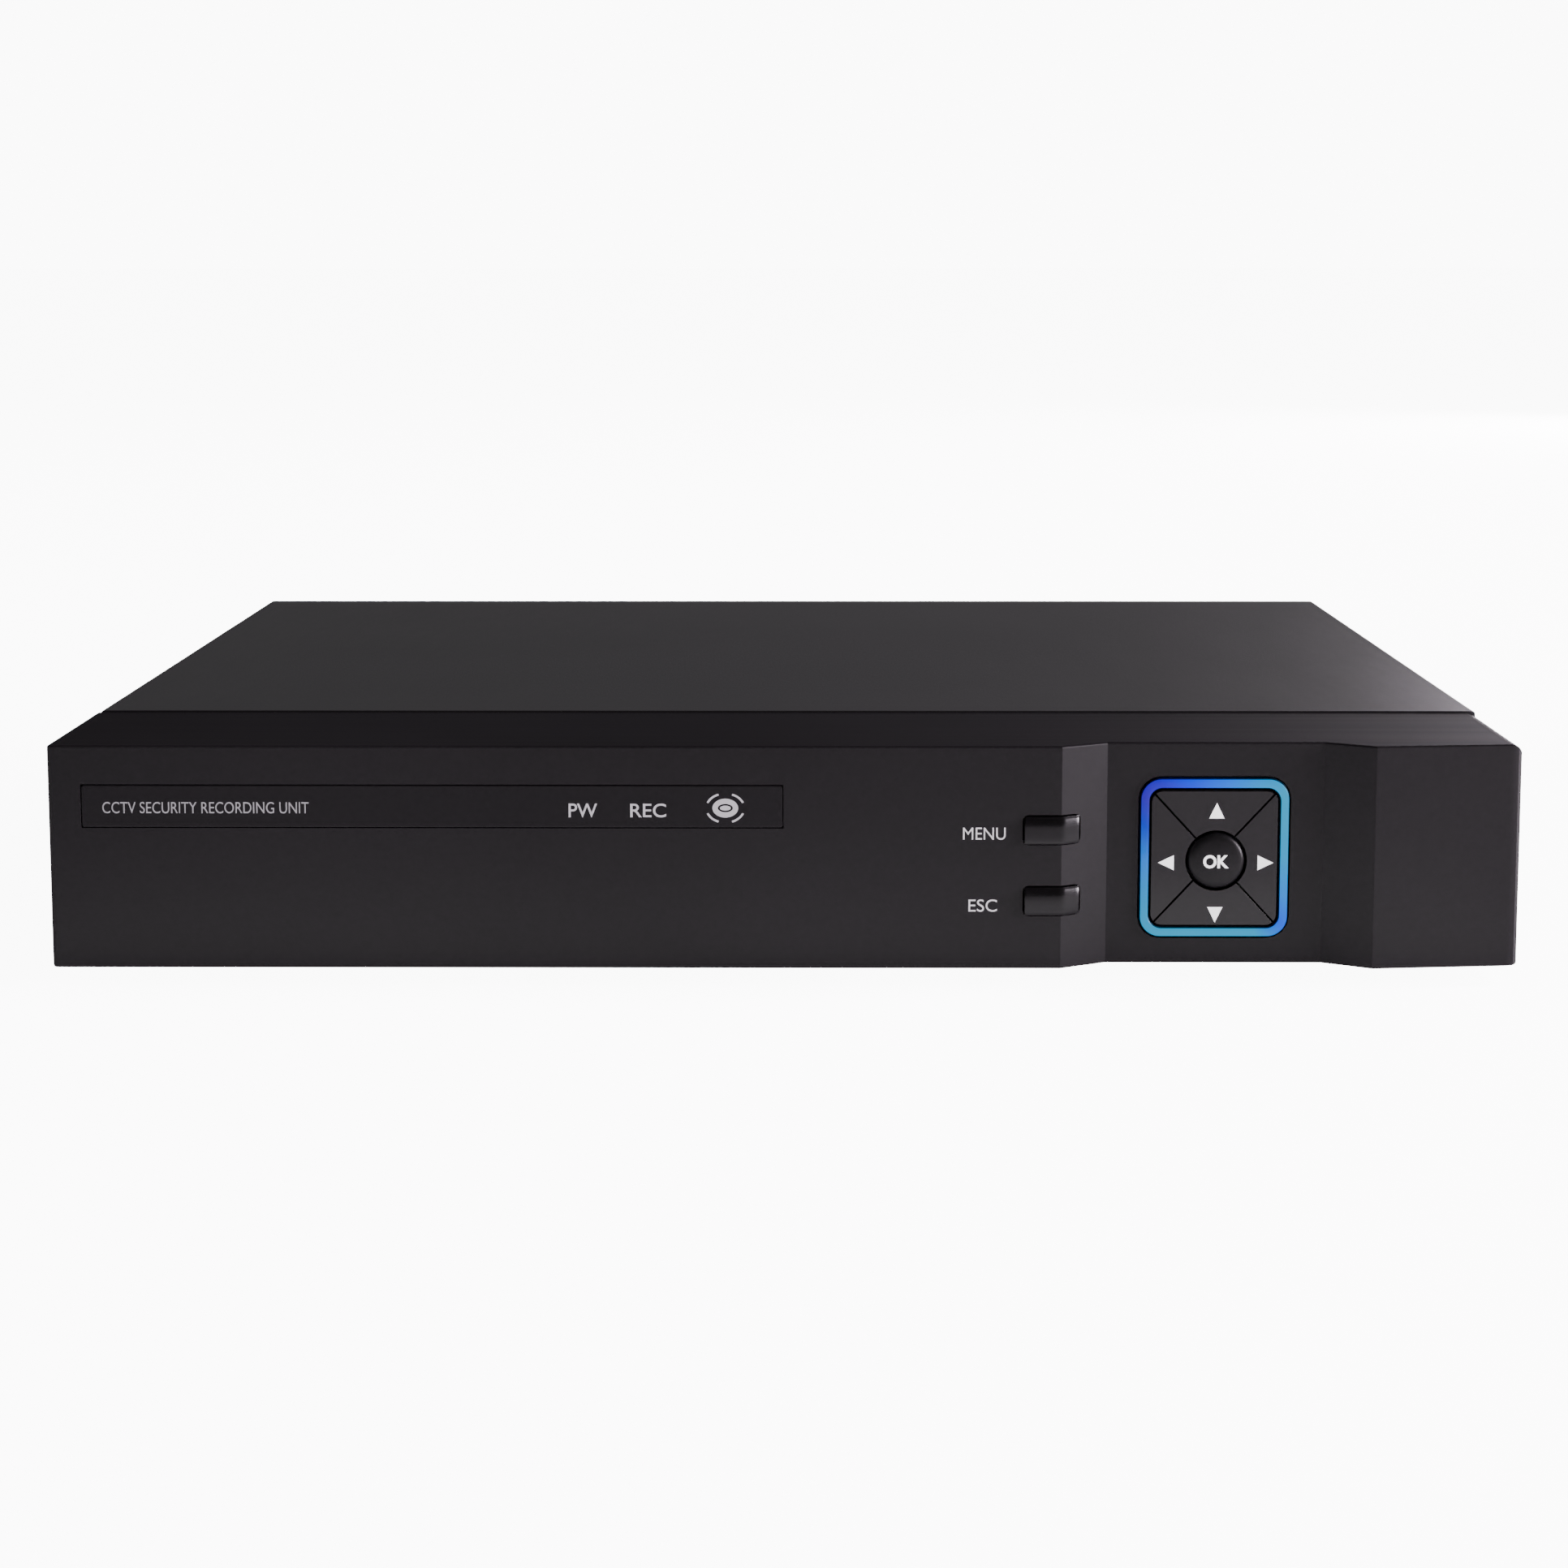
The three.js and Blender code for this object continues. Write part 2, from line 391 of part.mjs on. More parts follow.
// ---------------------------------------------------------------- main board and what stands on it
const chip = (x, y, w, d, h) => box(x - w / 2, x + w / 2, y - d / 2, y + d / 2, BOARD.z1 - 0.2, BOARD.z1 + h);
let board = join(
  box(BOARD.x0, BOARD.x1, BOARD.y0, BOARD.y1, BOARD.z0, BOARD.z1),
  chip(60, 152, 21, 21, 1.8), chip(24, 150, 12, 9, 1.1), chip(24, 166, 12, 9, 1.1), chip(96, 150, 14, 10, 1.4), chip(120, 186, 17, 11, 6.5),
  chip(0, 186, 9, 9, 1.2), chip(20, 190, 9, 9, 1.2), chip(-18, 140, 7, 5, 1.4), chip(98, 176, 9, 6, 2.2), chip(133, 160, 7, 12, 3.2),
  chip(20, 118, 14, 6, 4.6), chip(-27, 166, 8, 13, 5.2), chip(-32, 184, 5, 6, 3.4),
  cylZ(112, 128, 4, BOARD.z1 - 0.2, BOARD.z1 + 9, 16), cylZ(124, 128, 4, BOARD.z1 - 0.2, BOARD.z1 + 9, 16), cylZ(84, 122, 10, BOARD.z1 - 0.2, BOARD.z1 + 3.4, 24),
);
for (const [x, y] of POST) board = cut(board, cylZ(x, y, 1.6, BOARD.z0 - 1, BOARD.z1 + 1, 12));
add("main_board", board, "board");

const HS = { x: 60, y: 152, z0: BOARD.z1 + 1.8 + GAP };
let sink = box(HS.x - 15, HS.x + 15, HS.y - 15, HS.y + 15, HS.z0, HS.z0 + 2);
for (let i = 0; i < 9; i++) sink = join(sink, box(HS.x - 15 + i * 3.6, HS.x - 15 + i * 3.6 + 1.2, HS.y - 15, HS.y + 15, HS.z0 + 1.8, HS.z0 + 11));
add("heatsink", sink, "alu");

// ---------------------------------------------------------------- rear connectors
BNC_X.forEach((x, i) => {
  let s = box(x - 7.2, x + 7.2, 205, PANEL_Y0 - GAP, PORT_Z, 43);
  for (const z of BNC_Z) {
    s = join(s, cylY(x, z, 6.0, PANEL_Y0 - 0.5, 225.6, 14), cylY(x, z, 4.85, 225, BNC_TIP, 14), cylX(229.6, z, 1.0, x - 6.1, x + 6.1, 6));
    s = cut(s, cylY(x, z, 4.05, 225.8, BNC_TIP + 1, 14));
    s = join(s, cylY(x, z, 2.35, 225, BNC_TIP - 1, 10));
    s = cut(s, cylY(x, z, 0.75, 228.5, BNC_TIP + 1, 6));
  }
  add("bnc_pair_" + (i + 1), s, "nickel");
});
let audio = box(PX.audio - 5, PX.audio + 5, 209, PANEL_Y0 - GAP, PORT_Z, 40.5);
for (const z of [20, 34]) {
  audio = join(audio, cylY(PX.audio, z, 4.2, PANEL_Y0 - 0.5, 232.5, 14));
  audio = cut(audio, cylY(PX.audio, z, 3.3, 231.3, 234, 12), cylY(PX.audio, z, 1.7, 222, 233, 10));
}
add("audio_jacks", audio, "nickel");

let vga = join(box(PX.vga - 15.3, PX.vga + 15.3, 213, PANEL_Y0 - GAP, PORT_Z, 24.4), prismY(dShape(PX.vga, VGA_Z, 16.9, 8.3, 1.2), PANEL_Y0 - 0.5, 228.6));
vga = cut(vga, prismY(dShape(PX.vga, VGA_Z, 16.1, 7.5, 1.0), 228.1, 229));
for (let r = 0; r < 3; r++) for (let c = 0; c < 5; c++) vga = cut(vga, cylY(PX.vga - 4.6 + c * 2.3 - (r === 1 ? 0.75 : 0), VGA_Z + 2 - r * 2, 0.5, 225, 229, 6));
for (const s of [-1, 1]) {
  vga = join(vga, cylY(PX.vga + s * 12.5, VGA_Z, 2.6, PANEL_Y0 - 0.5, 228, 6));
  vga = cut(vga, cylY(PX.vga + s * 12.5, VGA_Z, 1.4, 224.5, 229, 10));
}
add("vga_port", vga, "nickel");

let hdmi = prismY([[PX.hdmi - 5.6, PORT_Z], [PX.hdmi + 5.6, PORT_Z], [PX.hdmi + 7.2, PORT_Z + 1.9], [PX.hdmi + 7.2, 17.6], [PX.hdmi - 7.2, 17.6], [PX.hdmi - 7.2, PORT_Z + 1.9]], 211, CASE_D);
hdmi = cut(hdmi, prismY([[PX.hdmi - 5.3, PORT_Z + 0.45], [PX.hdmi + 5.3, PORT_Z + 0.45], [PX.hdmi + 6.75, PORT_Z + 2.1], [PX.hdmi + 6.75, 17.15], [PX.hdmi - 6.75, 17.15], [PX.hdmi - 6.75, PORT_Z + 2.1]], 215, CASE_D + 1));
hdmi = join(hdmi, box(PX.hdmi - 5.4, PX.hdmi + 5.4, 214.5, 222.5, 14.7, 15.9));
add("hdmi_port", hdmi, "nickel");

let usb = box(PX.usb - 6.9, PX.usb + 6.9, 206, CASE_D + 0.2, PORT_Z, 27.6);
for (const z of [13.2, 20.7]) {
  usb = cut(usb, box(PX.usb - 6.2, PX.usb + 6.2, 212, CASE_D + 1, z, z + 5.4));
  usb = join(usb, box(PX.usb - 5.5, PX.usb + 5.5, 211.5, 223.5, z + 2.9, z + 4.7));
}
add("usb_ports", usb, "nickel");

let lan = box(PX.lan - 8, PX.lan + 8, 208, CASE_D + 0.2, PORT_Z, 25.2);
lan = cut(lan, box(PX.lan - 5.9, PX.lan + 5.9, 212, CASE_D + 1, 15.0, 23.0), box(PX.lan - 3.1, PX.lan + 3.1, 214, CASE_D + 1, 12.9, 15.1));
add("lan_port", lan, "nickel");

let dc = box(PX.dc - 4.6, PX.dc + 4.6, 211, PANEL_Y1 + 0.8, PORT_Z, 22.5);
dc = join(cut(dc, cylY(PX.dc, 17.4, 3.3, 214, PANEL_Y1 + 2, 20)), cylY(PX.dc, 17.4, 1.0, 213.5, PANEL_Y1 - 0.6, 10));
add("dc_jack", dc, "black");

// ---------------------------------------------------------------- fan
let frame = prismY(rr(FAN.x - FAN.half, FAN.x + FAN.half, FAN.z - FAN.half, FAN.z + FAN.half, 3, 3), FAN.y0, FAN.y1);
frame = cut(frame, cylY(FAN.x, FAN.z, 18.6, FAN.y0 - 1, FAN.y1 + 1, 26));
for (const sx of [-1, 1]) for (const sz of [-1, 1]) frame = cut(frame, cylY(FAN.x + sx * 16, FAN.z + sz * 16, 1.9, FAN.y0 - 1, FAN.y1 + 1, 12));
frame = join(frame, cylY(FAN.x, FAN.z, 10.5, FAN.y0, FAN.y0 + 1.5, 20), box(FAN.x - 19, FAN.x + 19, FAN.y0, FAN.y0 + 1.5, FAN.z - 1.3, FAN.z + 1.3), box(FAN.x - 1.3, FAN.x + 1.3, FAN.y0, FAN.y0 + 1.5, FAN.z - 19, FAN.z + 19));
frame = cut(frame, cylY(FAN.x, FAN.z, 1.9, FAN.y0 + 0.4, FAN.y0 + 2, 12));
add("fan_frame", frame, "black");

let rotor = join(cylY(FAN.x, FAN.z, 10.5, FAN.y0 + 1.9, FAN.y1 - 0.9, 24), cylY(FAN.x, FAN.z, 1.5, FAN.y0 + 0.8, FAN.y0 + 3, 12));
for (let i = 0; i < 7; i++) {
  const g = new THREE.BoxGeometry(8.2, 7.4, 0.9);
  g.translate(13.4, 0, 0).rotateX((42 * Math.PI) / 180).rotateY((i * 2 * Math.PI) / 7);
  g.translate(FAN.x, (FAN.y0 + FAN.y1) / 2 + 0.6, FAN.z);
  rotor = join(rotor, solid(g));
}
add("fan_rotor", rotor, "black");

// ---------------------------------------------------------------- disk drive
let drive = join(
  prismZ(rr(DRIVE.x0, DRIVE.x1, DRIVE.y0, DRIVE.y1, 3, 3), DRIVE.z0, DRIVE.z1 - 5, 0),
  prismZ(rr(DRIVE.x0 + 1.2, DRIVE.x1 - 1.2, DRIVE.y0 + 1.5, DRIVE.y1 - 16, 6, 3), DRIVE.z0 + 5, DRIVE.z1, 0.8),
);
drive = cut(drive, box(DRIVE.x0 + 8, DRIVE.x1 - 8, 112, 186, DRIVE.z0 - 1, DRIVE.z0 + 2.2), box(-100, -50, 190, 196, DRIVE.z0 - 1, DRIVE.z0 + 5.5));
add("drive_body", drive, "alu");
add("drive_circuit_board", box(DRIVE.x0 + 9, DRIVE.x1 - 9, 113, 185, DRIVE.z0 + 0.2, DRIVE.z0 + 1.8), "board");

// ---------------------------------------------------------------- cables inside the case
class Route extends THREE.CatmullRomCurve3 {}
const tube = (points, radius, steps, sides) => {
  const ring = [];
  for (let i = 0; i < sides; i++) ring.push([radius * Math.cos((i * 2 * Math.PI) / sides), radius * Math.sin((i * 2 * Math.PI) / sides)]);
  return solid(new THREE.ExtrudeGeometry(shapeOf(ring), { steps, bevelEnabled: false, extrudePath: new Route(points.map((p) => new THREE.Vector3(...p))) }));
};
// flat ribbon in the plane X = 20, drawn as its side outline and given its width
const ribbonMid = [[25.5, 18], [34, 18], [46, 17.5], [64, 15.2], [84, 13.6], [98, 16], [108, 20.6], [114, 21], [117.2, 19.8]];
const ribbonCurve = new THREE.CatmullRomCurve3(ribbonMid.map(([y, z]) => new THREE.Vector3(0, y, z))).getPoints(24);
const up = [], dn = [];
ribbonCurve.forEach((p, i) => {
  const a = ribbonCurve[Math.max(0, i - 1)], b = ribbonCurve[Math.min(ribbonCurve.length - 1, i + 1)];
  const t = new THREE.Vector3().subVectors(b, a).normalize();
  up.push([p.y - t.z * 0.45, p.z + t.y * 0.45]);
  dn.push([p.y + t.z * 0.45, p.z - t.y * 0.45]);
});
add(
  "ribbon_cable",
  join(prismX([...dn, ...up.reverse()], 14, 26), box(13.4, 26.6, 21.9, 26.5, 15.2, 20.8), box(13.4, 26.6, 115.2, 120.8, BOARD.z1 + 4.6 + GAP, 21.2)),
  "grey",
);
add(
  "drive_cable",
  join(
    tube([[-75, 197, 11], [-75, 202, 11], [-71, 207.5, 11.5], [-60, 209, 13], [-48, 205, 17], [-37, 193, 20.5], [-30, 180, 21], [-27, 171.5, 20.2], [-27, 167.5, 19]], 2.1, 28, 8),
    box(-86, -64, 191, 198, DRIVE.z0 + 0.3, DRIVE.z0 + 5.2), box(-31, -23, 160, 172, BOARD.z1 + 5.2 + GAP, 21.8),
  ),
  "black",
);
add(
  "fan_cable",
  join(
    tube([[-74.4, 217, 9.2], [-66, 217.5, 9], [-56, 215, 9], [-46, 208, 10], [-41, 198, 13], [-38, 191, 16], [-34.8, 187, 17.6], [-33, 185, 17.4]], 1.1, 24, 6),
    box(-34.4, -29.8, 181.5, 186.5, BOARD.z1 + 3.4 + GAP, 18.6),
  ),
  "black",
);

export default recorder;
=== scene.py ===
"""Looks for the video recorder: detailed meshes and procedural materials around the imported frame."""
import bpy
import bmesh
import math
from mathutils import Matrix, Vector


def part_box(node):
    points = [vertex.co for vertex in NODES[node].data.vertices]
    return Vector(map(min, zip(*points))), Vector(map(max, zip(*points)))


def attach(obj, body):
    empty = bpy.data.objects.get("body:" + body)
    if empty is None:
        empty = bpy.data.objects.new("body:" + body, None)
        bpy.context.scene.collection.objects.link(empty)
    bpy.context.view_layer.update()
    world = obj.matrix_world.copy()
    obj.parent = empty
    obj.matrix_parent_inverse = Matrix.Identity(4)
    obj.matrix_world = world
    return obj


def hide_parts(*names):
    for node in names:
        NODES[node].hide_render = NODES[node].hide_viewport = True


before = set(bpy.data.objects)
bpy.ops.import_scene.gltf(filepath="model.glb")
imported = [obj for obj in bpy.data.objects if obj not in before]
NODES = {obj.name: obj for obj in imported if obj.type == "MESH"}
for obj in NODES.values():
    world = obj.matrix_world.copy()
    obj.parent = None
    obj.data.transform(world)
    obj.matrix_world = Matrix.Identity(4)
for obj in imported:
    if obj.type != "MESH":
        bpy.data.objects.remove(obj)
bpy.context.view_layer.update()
MM = 0.001
FRONT_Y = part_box("front_bezel")[0].y  # the bezel's front face
COVER_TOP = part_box("top_cover")[1].z / MM
BEZEL_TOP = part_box("front_bezel")[1].z
PANEL_Y = (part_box("base_chassis")[1].y - FRONT_Y) / MM  # outer face of the rear panel
CASE = "case"


def P(x, y, z):
    """A point given in millimetres from the bezel face, as a point of the row frame in metres."""
    return Vector((x * MM, FRONT_Y + y * MM, z * MM))


def span(node):
    """x0, x1, y0, y1, z0, z1 of a CAD node in millimetres from the bezel face."""
    lo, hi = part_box(node)
    return (lo.x / MM, hi.x / MM, (lo.y - FRONT_Y) / MM, (hi.y - FRONT_Y) / MM, lo.z / MM, hi.z / MM)


# ------------------------------------------------------------------ camera
def make_camera():
    data = bpy.data.cameras.new("camera")
    cam = bpy.data.objects.new("camera", data)
    bpy.context.scene.collection.objects.link(cam)
    pitch, yaw, roll = (math.radians(a) for a in (6.282, 0.453, -0.044))
    cp, sp, cy, sy, cr, sr = math.cos(pitch), math.sin(pitch), math.cos(yaw), math.sin(yaw), math.cos(roll), math.sin(roll)
    turn = Matrix(((cr, 0, sr), (0, 1, 0), (-sr, 0, cr))) @ Matrix(((1, 0, 0), (0, cp, -sp), (0, sp, cp))) @ Matrix(((cy, sy, 0), (-sy, cy, 0), (0, 0, 1)))
    right, ahead, up = turn[0], turn[1], turn[2]
    m = Matrix((right, up, -ahead)).transposed().to_4x4()
    m.translation = P(3.9, -525.67, 148.08)
    cam.matrix_world = m
    data.sensor_width = 36
    data.lens = 3249.4 / 1932 * 36
    data.shift_y = -0.15
    data.clip_start, data.clip_end = 0.01, 200
    bpy.context.scene.camera = cam


make_camera()


# ------------------------------------------------------------------ materials
class Nodes:
    """A material and short calls for the shader nodes it is made of."""

    def __init__(self, name):
        self.mat = bpy.data.materials.new(name)
        self.mat.use_nodes = True
        self.t = self.mat.node_tree
        self.bsdf = next(n for n in self.t.nodes if n.type == "BSDF_PRINCIPLED")
        self.out = next(n for n in self.t.nodes if n.type == "OUTPUT_MATERIAL")
        self.coord = self.t.nodes.new("ShaderNodeTexCoord")

    def node(self, kind, **values):
        n = self.t.nodes.new(kind)
        for k, v in values.items():
            if hasattr(n, k) and k not in n.inputs:
                setattr(n, k, v)
            else:
                n.inputs[k].default_value = v
        return n

    def link(self, a, b):
        self.t.links.new(a, b)

    def where(self, stretch=(1, 1, 1), turn=(0, 0, 0)):
        m = self.t.nodes.new("ShaderNodeMapping")
        m.inputs["Scale"].default_value = stretch
        m.inputs["Rotation"].default_value = turn
        self.link(self.coord.outputs["Object"], m.inputs["Vector"])
        return m.outputs["Vector"]

    def noise(self, scale, detail=3.0, rough=0.5, stretch=(1, 1, 1), turn=(0, 0, 0)):
        n = self.t.nodes.new("ShaderNodeTexNoise")
        n.inputs["Scale"].default_value = scale
        n.inputs["Detail"].default_value = detail
        n.inputs["Roughness"].default_value = rough
        self.link(self.where(stretch, turn), n.inputs["Vector"])
        return n.outputs["Fac"]

    def voronoi(self, scale, stretch=(1, 1, 1)):
        n = self.t.nodes.new("ShaderNodeTexVoronoi")
        n.inputs["Scale"].default_value = scale
        self.link(self.where(stretch), n.inputs["Vector"])
        return n.outputs["Distance"]

    def ramp(self, fac, stops):
        n = self.t.nodes.new("ShaderNodeValToRGB")
        while len(n.color_ramp.elements) > 1:
            n.color_ramp.elements.remove(n.color_ramp.elements[-1])
        for i, (pos, col) in enumerate(stops):
            e = n.color_ramp.elements[0] if i == 0 else n.color_ramp.elements.new(pos)
            e.position = pos
            e.color = (*col, 1) if len(col) == 3 else col
        self.link(fac, n.inputs["Fac"])
        return n.outputs["Color"]

    def maths(self, op, a, b=None, c=None):
        n = self.t.nodes.new("ShaderNodeMath")
        n.operation = op
        for i, v in enumerate((a, b, c)):
            if v is None:
                continue
            if isinstance(v, (int, float)):
                n.inputs[i].default_value = v
            else:
                self.link(v, n.inputs[i])
        return n.outputs[0]

    def mix(self, fac, a, b):
        n = self.t.nodes.new("ShaderNodeMix")
        n.data_type = "RGBA"
        for sock, v in ((n.inputs[0], fac), (n.inputs[6], a), (n.inputs[7], b)):
            if isinstance(v, (int, float)):
                sock.default_value = v
            elif isinstance(v, tuple):
                sock.default_value = (*v, 1)
            else:
                self.link(v, sock)
        return n.outputs[2]

    def bump(self, height, strength, distance, normal=None):
        n = self.t.nodes.new("ShaderNodeBump")
        n.inputs["Strength"].default_value = strength
        n.inputs["Distance"].default_value = distance
        self.link(height, n.inputs["Height"])
        if normal is not None:
            self.link(normal, n.inputs["Normal"])
        return n.outputs["Normal"]

    def set(self, **sockets):
        for k, v in sockets.items():
            s = self.bsdf.inputs[k.replace("_", " ")]
            if isinstance(v, tuple) and len(v) == 3:
                s.default_value = (*v, 1)
            elif isinstance(v, (int, float)):
                s.default_value = v
            else:
                self.link(v, s)
        return self


def coated_steel(name, dark, light, rough, spec):
    """Black powder coat on sheet steel: fine orange-peel grain, faint cloudy variation and a few handling marks."""
    n = Nodes(name)
    cloud = n.noise(9, 4, 0.55)
    colour = n.mix(n.ramp(cloud, [(0.3, (0, 0, 0)), (0.72, (1, 1, 1))]), dark, light)
    peel = n.voronoi(1500)
    grain = n.noise(2600, 2, 0.6)
    normal = n.bump(peel, 0.10, 0.00012)
    normal = n.bump(grain, 0.10, 0.00006, normal)
    marks = n.noise(60, 5, 0.7, stretch=(1, 0.25, 1))
    r = n.maths("MULTIPLY_ADD", marks, 0.10, rough - 0.05)
    n.set(Base_Color=colour, Roughness=r, Normal=normal, Specular_IOR_Level=spec)
    return n.mat


def moulded(name, dark, light, rough, spec, grain=0.10, vary=0.06):
    """Injection-moulded plastic with a fine spark-eroded grain."""
    n = Nodes(name)
    cloud = n.noise(14, 3, 0.5)
    colour = n.mix(n.ramp(cloud, [(0.32, (0, 0, 0)), (0.7, (1, 1, 1))]), dark, light)
    fine = n.noise(4200, 2, 0.65)
    normal = n.bump(fine, grain, 0.00005)
    wipe = n.noise(26, 4, 0.6, stretch=(0.35, 1, 1))
    r = n.maths("MULTIPLY_ADD", wipe, vary, rough - vary / 2)
    n.set(Base_Color=colour, Roughness=r, Normal=normal, Specular_IOR_Level=spec)
    return n.mat


def bezel_look(name, dark, light, rough, spec, top=False):
    """Satin moulded plastic; the top face has a coarser, duller texture with long faint flow lines."""
    n = Nodes(name)
    cloud = n.ramp(n.noise(14, 3, 0.5), [(0.32, (0, 0, 0)), (0.7, (1, 1, 1))])
    fine = n.noise(4200, 2, 0.65)
    coarse = n.noise(1700, 2, 0.6)
    wipe = n.noise(30, 4, 0.6, stretch=(0.06, 6, 1)) if top else n.noise(26, 4, 0.6, stretch=(0.35, 1, 1))
    r = n.maths("MULTIPLY_ADD", wipe, 0.16 if top else 0.06, rough - (0.06 if top else 0.03))
    normal = n.bump(coarse, 0.07, 0.00006, n.bump(fine, 0.10, 0.00005))
    n.set(Base_Color=n.mix(cloud, dark, light), Roughness=r, Normal=normal, Specular_IOR_Level=spec)
    return n.mat


def metal(name, dark, light, rough, stretch=(1, 1, 1), scale=700, strength=0.06):
    """Plated or machined metal with fine brushing and slight tarnish."""
    n = Nodes(name)
    tarnish = n.noise(160, 4, 0.6)
    colour = n.mix(n.ramp(tarnish, [(0.35, (0, 0, 0)), (0.75, (1, 1, 1))]), dark, light)
    brush = n.noise(scale, 3, 0.6, stretch=stretch)
    r = n.maths("MULTIPLY_ADD", brush, 0.16, rough - 0.08)
    n.set(Base_Color=colour, Roughness=r, Normal=n.bump(brush, strength, 0.00004))
    n.set(Metallic=1.0)
    return n.mat


def printed(name, colour, rough=0.5):
    """Screen-printed ink, a little uneven at its dots."""
    n = Nodes(name)
    dots = n.noise(5200, 2, 0.5)
    c = n.mix(n.ramp(dots, [(0.3, (0, 0, 0)), (0.62, (1, 1, 1))]), tuple(x * 0.9 for x in colour), colour)
    n.set(Base_Color=c, Roughness=rough, Normal=n.bump(dots, 0.05, 0.00002), Specular_IOR_Level=0.3)
    return n.mat


def backlit(name, colour, power):
    """White legend ink with an emission of its own: a painted glow that brightens it, since no lamp lights it from
    behind.
    """
    n = Nodes(name)
    spots = n.noise(900, 2, 0.5)
    c = n.mix(spots, tuple(x * 0.94 for x in colour), colour)
    n.set(Base_Color=c, Roughness=0.45, Emission_Color=c, Specular_IOR_Level=0.3, Normal=n.bump(spots, 0.05, 0.00002))
    # strength of the painted glow in the ink
    n.bsdf.inputs["Emission Strength"].default_value = power
    return n.mat


def pcb(name):
    """Green solder mask with copper tracks under it and rows of pads."""
    n = Nodes(name)
    v = n.t.nodes.new("ShaderNodeTexVoronoi")
    v.distance = "MANHATTAN"
    v.inputs["Scale"].default_value = 210
    n.link(n.where(), v.inputs["Vector"])
    track = n.ramp(v.outputs["Distance"], [(0.30, (0, 0, 0)), (0.36, (1, 1, 1)), (0.46, (1, 1, 1)), (0.52, (0, 0, 0))])
    base = n.mix(track, (0.010, 0.085, 0.032), (0.022, 0.17, 0.06))
    n.set(Base_Color=base, Roughness=0.34, Normal=n.bump(v.outputs["Distance"], 0.12, 0.00005), Specular_IOR_Level=0.5)
    return n.mat


def rubber(name):
    n = Nodes(name)
    g = n.noise(2400, 3, 0.7)
    c = n.mix(n.noise(300, 2, 0.5), (0.014, 0.014, 0.015), (0.026, 0.026, 0.027))
    n.set(Base_Color=c, Roughness=0.86, Normal=n.bump(g, 0.22, 0.00008), Specular_IOR_Level=0.25)
    return n.mat


def ring_light(name, centre):
    """Translucent light guide: blue-violet at its upper left, cyan at its right and underside."""
    n = Nodes(name)
    sep = n.t.nodes.new("ShaderNodeSeparateXYZ")
    n.link(n.coord.outputs["Object"], sep.inputs[0])
    dx = n.maths("SUBTRACT", sep.outputs["X"], centre.x)
    dz = n.maths("SUBTRACT", sep.outputs["Z"], centre.z)
    ang = n.maths("ARCTAN2", dz, dx)
    t = n.maths("MULTIPLY_ADD", ang, 1 / (2 * math.pi), 0.5)  # 0 at the left side, 0.25 underneath, 0.5 right, 0.75 top
    hue = n.ramp(t, RING_STOPS)
    spots = n.noise(420, 2, 0.5)
    glow = n.maths("MULTIPLY_ADD", spots, 0.10, 0.95)
    # only the guide's front face gives light; its sides and the flange behind the wall stay dark
    lit = n.maths("LESS_THAN", sep.outputs["Y"], centre.y)
    body = n.mix(0.05, (0.002, 0.004, 0.012), hue)
    n.set(Base_Color=body, Roughness=0.34, Specular_IOR_Level=0.15, Emission_Color=n.mix(n.maths("MULTIPLY", glow, lit), (0, 0, 0), hue), Normal=n.bump(spots, 0.04, 0.00004))
    n.bsdf.inputs["Emission Strength"].default_value = RING_POWER
    return n.mat


def lin(r, g, b):
    f = lambda c: c / 255 / 12.92 if c <= 10 else ((c / 255 + 0.055) / 1.055) ** 2.4
    return (f(r), f(g), f(b))


RING_POWER = 1.0
RING_STOPS = [
    (0.000, (0.0, 0.22, 0.95)), (0.060, (0.0, 0.30, 0.80)), (0.115, (0.0, 0.37, 0.70)), (0.160, (0.0, 0.41, 0.72)), (0.330, (0.0, 0.40, 0.74)),
    (0.375, (0.0, 0.12, 1.15)), (0.420, (0.0, 0.27, 0.98)), (0.500, (0.0, 0.39, 0.80)), (0.620, (0.0, 0.42, 0.74)), (0.655, (0.0, 0.37, 0.84)),
    (0.720, (0.0, 0.20, 1.15)), (0.800, (0.0, 0.04, 1.15)), (0.850, (0.020, 0.0, 0.70)), (0.885, (0.034, 0.0, 0.54)), (0.930, (0.0, 0.04, 0.70)), (0.999, (0.0, 0.21, 0.94)),
]

